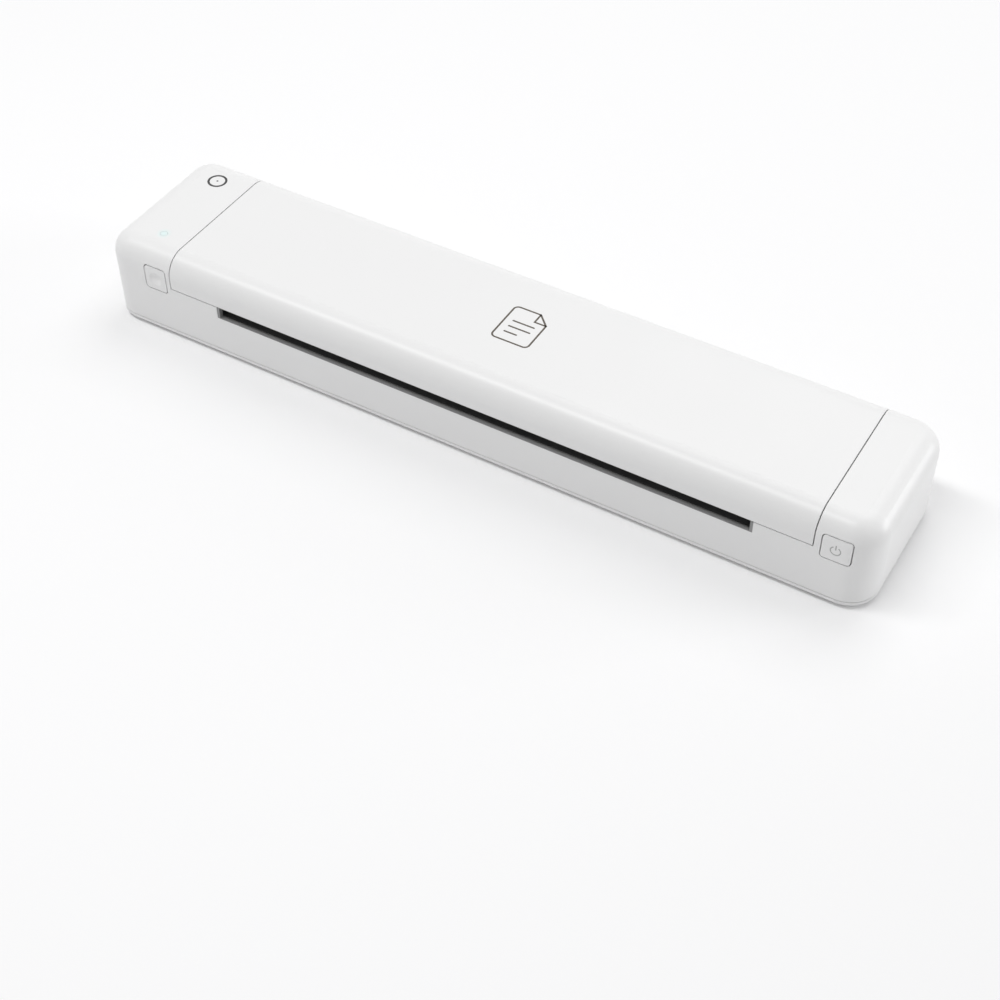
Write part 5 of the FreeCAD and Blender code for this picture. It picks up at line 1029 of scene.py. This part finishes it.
ribbon_stops = [(0, y * MM, z * MM) for y, z in RIBBON_STOPS_MM]
ribbon_route = smooth_route("ribbon_route", ribbon_stops, RIBBON_RESOLUTION)
meeting = next(row for row, spot in enumerate(ribbon_route)
               if row > len(ribbon_route) / 2 and spot.y < RIBBON_MEETING_Y)
rear_film = film_strip("head_film_rear", ribbon_route[:meeting + 1])
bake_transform(rear_film)
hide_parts("head_ribbon")
front_film = film_strip("head_film_front", ribbon_route[meeting:])
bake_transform(front_film)
print("ribbon:", len(ribbon_route), "rows along it, with the meeting at row", meeting)

# %% [markdown]
# ## Wires
# In CAD each bundle of wires is one plain tube. The real thing is two or four thin wires that are
# twisted loosely together, so each wire is its own tube, turned round the bundle's smooth route.

# %% Wire bundles
TWIST_LENGTH = 16 * MM
WIRE_SIDES = 10
MOTOR_GAUGE = (0.36 * MM, 0.52 * MM)
SIGNAL_GAUGE = (0.33 * MM, 0.35 * MM)
POWER_GAUGE = (0.42 * MM, 0.45 * MM)


def bundle(name, stops, gauge, finishes, node):
    """Twisted wires along a route: the first one replaces the CAD tube. gauge is the radius of a
    wire and its distance from the middle of the bundle."""
    wire_r, offset = gauge
    route = smooth_route(name, stops)
    steps = [(b - a).length for a, b in zip(route, route[1:])]
    turns = [0.0]
    for step in steps:
        turns.append(turns[-1] + 2 * math.pi * step / TWIST_LENGTH)
    for number, finish in enumerate(finishes):
        begin = 2 * math.pi * number / len(finishes)
        path = [spot + offset * (math.cos(begin + turn) * across + math.sin(begin + turn) * up)
                for spot, (across, up), turn in zip(route, carried_frames(route), turns)]
        wire = mesh_object("%s_%d" % (name, number + 1), *tube(path, wire_r, WIRE_SIDES), finish)
        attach(wire, "base")
        if number == 0:
            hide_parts(node)
    print(name, "is", round(sum(steps) / MM), "mm long, with", len(finishes), "wires")


bundle("motor_wires", [
    (-0.14095, 0.0222, 0.0127), (-0.14095, 0.0248, 0.0127), (-0.13835, 0.0274, 0.01183),
    (-0.1272, 0.0274, 0.0104), (-0.08894, 0.02763, 0.01063), (-0.05067, 0.02717, 0.0104),
    (-0.01241, 0.02763, 0.01063), (0.02585, 0.0274, 0.01017), (0.02981, 0.02616, 0.01104),
    (0.03105, 0.02492, 0.01069), (0.03105, 0.02245, 0.01069)],
    MOTOR_GAUGE, (wire_yellow, wire_red, wire_blue, wire_black), "motor_cable")
bundle("lamp_wires", [
    (-0.1366, -0.01267, 0.0318), (-0.1366, -0.01267, 0.02905), (-0.1366, -0.00077, 0.0272),
    (-0.1366, 0.0174, 0.0263), (-0.1366, 0.0267, 0.0208), (-0.1357, 0.0274, 0.0178),
    (-0.1311, 0.02763, 0.0132), (-0.1272, 0.0274, 0.0123), (-0.08681, 0.02763, 0.01253),
    (-0.04642, 0.02717, 0.0123), (-0.00604, 0.02763, 0.01253), (0.03435, 0.0274, 0.01207),
    (0.03861, 0.02616, 0.01104), (0.03985, 0.02492, 0.01069), (0.03985, 0.02245, 0.01069)],
    SIGNAL_GAUGE, (wire_white, wire_black), "led_cable")
bundle("switch_wires", [
    (0.14595, -0.022, 0.0257), (0.14595, -0.01586, 0.0257), (0.14441, -0.00972, 0.021),
    (0.14234, 0.00256, 0.01395), (0.1362, 0.00825, 0.01205), (0.13195, 0.0087, 0.0116),
    (0.13105, 0.0087, 0.0116)],
    SIGNAL_GAUGE, (wire_white, wire_black), "switch_cable")
bundle("charging_wires", [
    (0.14195, 0.0177, 0.00782), (0.14195, 0.0147, 0.00782), (0.14045, 0.0097, 0.0098),
    (0.1362, 0.009, 0.0101), (0.13195, 0.0087, 0.0098), (0.13105, 0.0087, 0.0098)],
    POWER_GAUGE, (wire_red, wire_black), "usb_cable")
bundle("battery_wires", [
    (0.01675, 0.01, 0.0102), (0.02198, 0.01, 0.0102), (0.0272, 0.01081, 0.01044),
    (0.03243, 0.01162, 0.00999), (0.03765, 0.01162, 0.00999)],
    POWER_GAUGE, (wire_red, wire_black), "battery_leads")

# %% [markdown]
# ## Printed symbols
# The symbols are pad-printed ink, a few hundredths of a millimetre thick. They could be painted in
# the material, but ink has its own edge and its own gloss, so each is a thin mesh: strokes with
# round ends, half sunk in the shell, that stand out of it by two hundredths of a millimetre.

# %% Ink
INK_T = 0.02 * MM
MITRE_LIMIT = 0.4
CAP_STEPS = 6
DOT_STRETCH_SHARE = 0.02


def ink(name, low, high):
    """Printed ink with a slightly uneven tone."""
    finish, tree, shader, place = start_finish(name)
    spotted = placed(tree, grain_group, place, {"Grain Size": 0.15 * MM, "Patch Size": 1.2 * MM})
    two_tone(tree, shader, spotted["Patch"], (low, high), (0.5, 0.62))
    return finish


def stroke(points, width, closed):
    """One stroke in a plane, as (u, v) points and faces, with mitred corners and round ends."""
    half = width / 2
    flat, faces = [], []
    count = len(points)
    for i, (u, v) in enumerate(points):
        before = points[i - 1] if i or closed else points[i]
        after = points[(i + 1) % count] if i + 1 < count or closed else points[i]
        one = Vector((u - before[0], v - before[1]))
        two = Vector((after[0] - u, after[1] - v))
        one = one.normalized() if one.length > 0 else two.normalized()
        two = two.normalized() if two.length > 0 else one
        middle = (one + two).normalized()
        across = Vector((-middle.y, middle.x))
        reach = half / max(across.dot(Vector((-one.y, one.x))), MITRE_LIMIT)
        flat.append((u + across.x * reach, v + across.y * reach))
        flat.append((u - across.x * reach, v - across.y * reach))
    rows = count if closed else count - 1
    for row in range(rows):
        a, b = 2 * row, 2 * ((row + 1) % count)
        faces.append((a, a + 1, b + 1, b))
    if not closed:
        for end, near in ((0, 1), (count - 1, count - 2)):
            u, v = points[end]
            out = Vector((u - points[near][0], v - points[near][1])).normalized()
            cap = list(range(len(flat), len(flat) + CAP_STEPS - 1))
            for step in range(1, CAP_STEPS):
                angle = -math.pi / 2 + math.pi * step / CAP_STEPS
                along = out * math.cos(angle) * half
                side = Vector((-out.y, out.x)) * math.sin(angle) * half
                flat.append((u + along.x + side.x, v + along.y + side.y))
            left, right = 2 * end, 2 * end + 1
            faces.append(tuple([left, *cap, right] if end == 0 else [right, *cap, left]))
    return flat, faces


def ink_mark(name, strokes, lift, finish, body):
    """Ink strokes as one raised mesh. lift turns (u, v, height) into a point of the printer."""
    points, faces = [], []
    for path, width, closed in strokes:
        flat, tops = stroke(path, width, closed)
        low, high = len(points), len(points) + len(flat)
        points += [lift(u, v, -INK_T) for u, v in flat]
        points += [lift(u, v, INK_T) for u, v in flat]
        edges = {}
        for face in tops:
            faces.append(tuple(high + corner for corner in face))
            faces.append(tuple(low + corner for corner in reversed(face)))
            for a, b in zip(face, face[1:] + face[:1]):
                edges[(a, b)] = True
        for a, b in edges:
            if (b, a) not in edges:
                faces.append((high + b, high + a, low + a, low + b))
    made = mesh_object(name, points, faces, finish, smooth=False)
    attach(made, body)
    print(name + ":", len(made.data.polygons), "faces")


def arc(middle_u, middle_v, radius, start, end, steps):
    """Points on an arc, in degrees."""
    return [(middle_u + radius * math.cos(math.radians(start + (end - start) * i / steps)),
             middle_v + radius * math.sin(math.radians(start + (end - start) * i / steps)))
            for i in range(steps + 1)]


def disc(middle_u, middle_v, radius):
    """A filled dot, as one short thick stroke."""
    reach = radius * DOT_STRETCH_SHARE
    return [(middle_u - reach, middle_v), (middle_u + reach, middle_v)], 2 * radius, False


# %% Ring on the left block
RING_PLACE = (-139.2 * MM, 17.8 * MM)
RING_R = 3.45
RING_LINE = 0.9
RING_DOT_R = 0.4
RING_STEPS = 48

dark_ink = ink("dark_ink", grey(0.03), grey(0.045))
shell_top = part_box("main_housing")[1].z


def on_top(middle_x, middle_y):
    """Lays a symbol on the top: u runs along the printer and v to the back, both in mm."""
    return lambda u, v, height: Vector((middle_x + u * MM, middle_y + v * MM, shell_top + height))


ring = arc(0, 0, RING_R, 0, 360, RING_STEPS)[:-1]
ring_strokes = [(ring, RING_LINE, True), disc(0, 0, RING_DOT_R)]
ink_mark("ring_mark", ring_strokes, on_top(*RING_PLACE), dark_ink, "base")

# %% Page symbol in the middle of the cover
PAGE_PLACE = (6.5 * MM, 1.5 * MM)
PAGE_HALF_U = 7.4
PAGE_HALF_V = 9.2
PAGE_FOLD = 4.6
PAGE_CORNER = 1.8
PAGE_CORNER_STEPS = 10
PAGE_LINE = 0.7
PAGE_ROW_START = -4.2
PAGE_ROWS = ((1.6, 4.2), (-1.6, 4.2), (-4.8, 0.6))

brown_ink = ink("grey_brown_ink", (0.075, 0.062, 0.048, 1.0), (0.1, 0.085, 0.065, 1.0))
fold_u = PAGE_HALF_U - PAGE_FOLD
fold_v = PAGE_HALF_V - PAGE_FOLD
page_outline = [(fold_u, PAGE_HALF_V)]
for side_u, side_v, start in ((-1, 1, 90), (-1, -1, 180), (1, -1, 270)):
    page_outline += arc(side_u * (PAGE_HALF_U - PAGE_CORNER), side_v * (PAGE_HALF_V - PAGE_CORNER),
                        PAGE_CORNER, start, start + 90, PAGE_CORNER_STEPS)
page_outline.append((PAGE_HALF_U, fold_v))
page_fold = [(fold_u, PAGE_HALF_V), (fold_u, fold_v), (PAGE_HALF_U, fold_v)]
page_strokes = [(page_outline, PAGE_LINE, True), (page_fold, PAGE_LINE, False)]
for row, end in PAGE_ROWS:
    page_strokes.append(([(PAGE_ROW_START, row), (end, row)], PAGE_LINE, False))
ink_mark("page_mark", page_strokes, on_top(*PAGE_PLACE), brown_ink, "cover")

# %% Power symbol on the right button
POWER_PLACE = (142.15 * MM, 25.6 * MM)
POWER_R = 1.75
POWER_MIDDLE_V = -0.2
POWER_ARC = (125, 415)
POWER_ARC_STEPS = 36
POWER_LINE = 0.42
POWER_BAR = [(0, 0.35), (0, 2.1)]

pale_ink = ink("pale_grey_ink", grey(0.4), grey(0.46))
button_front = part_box("power_button")[0].y


def on_front(middle_x, middle_z, front_y):
    """Lays a symbol on a front face: u runs along the printer and v up, both in mm."""
    return lambda u, v, height: Vector((middle_x + u * MM, front_y - height, middle_z + v * MM))


power_arc = arc(0, POWER_MIDDLE_V, POWER_R, *POWER_ARC, POWER_ARC_STEPS)
ink_mark("power_mark", [(power_arc, POWER_LINE, False), (POWER_BAR, POWER_LINE, False)],
         on_front(*POWER_PLACE, button_front), pale_ink, "power")
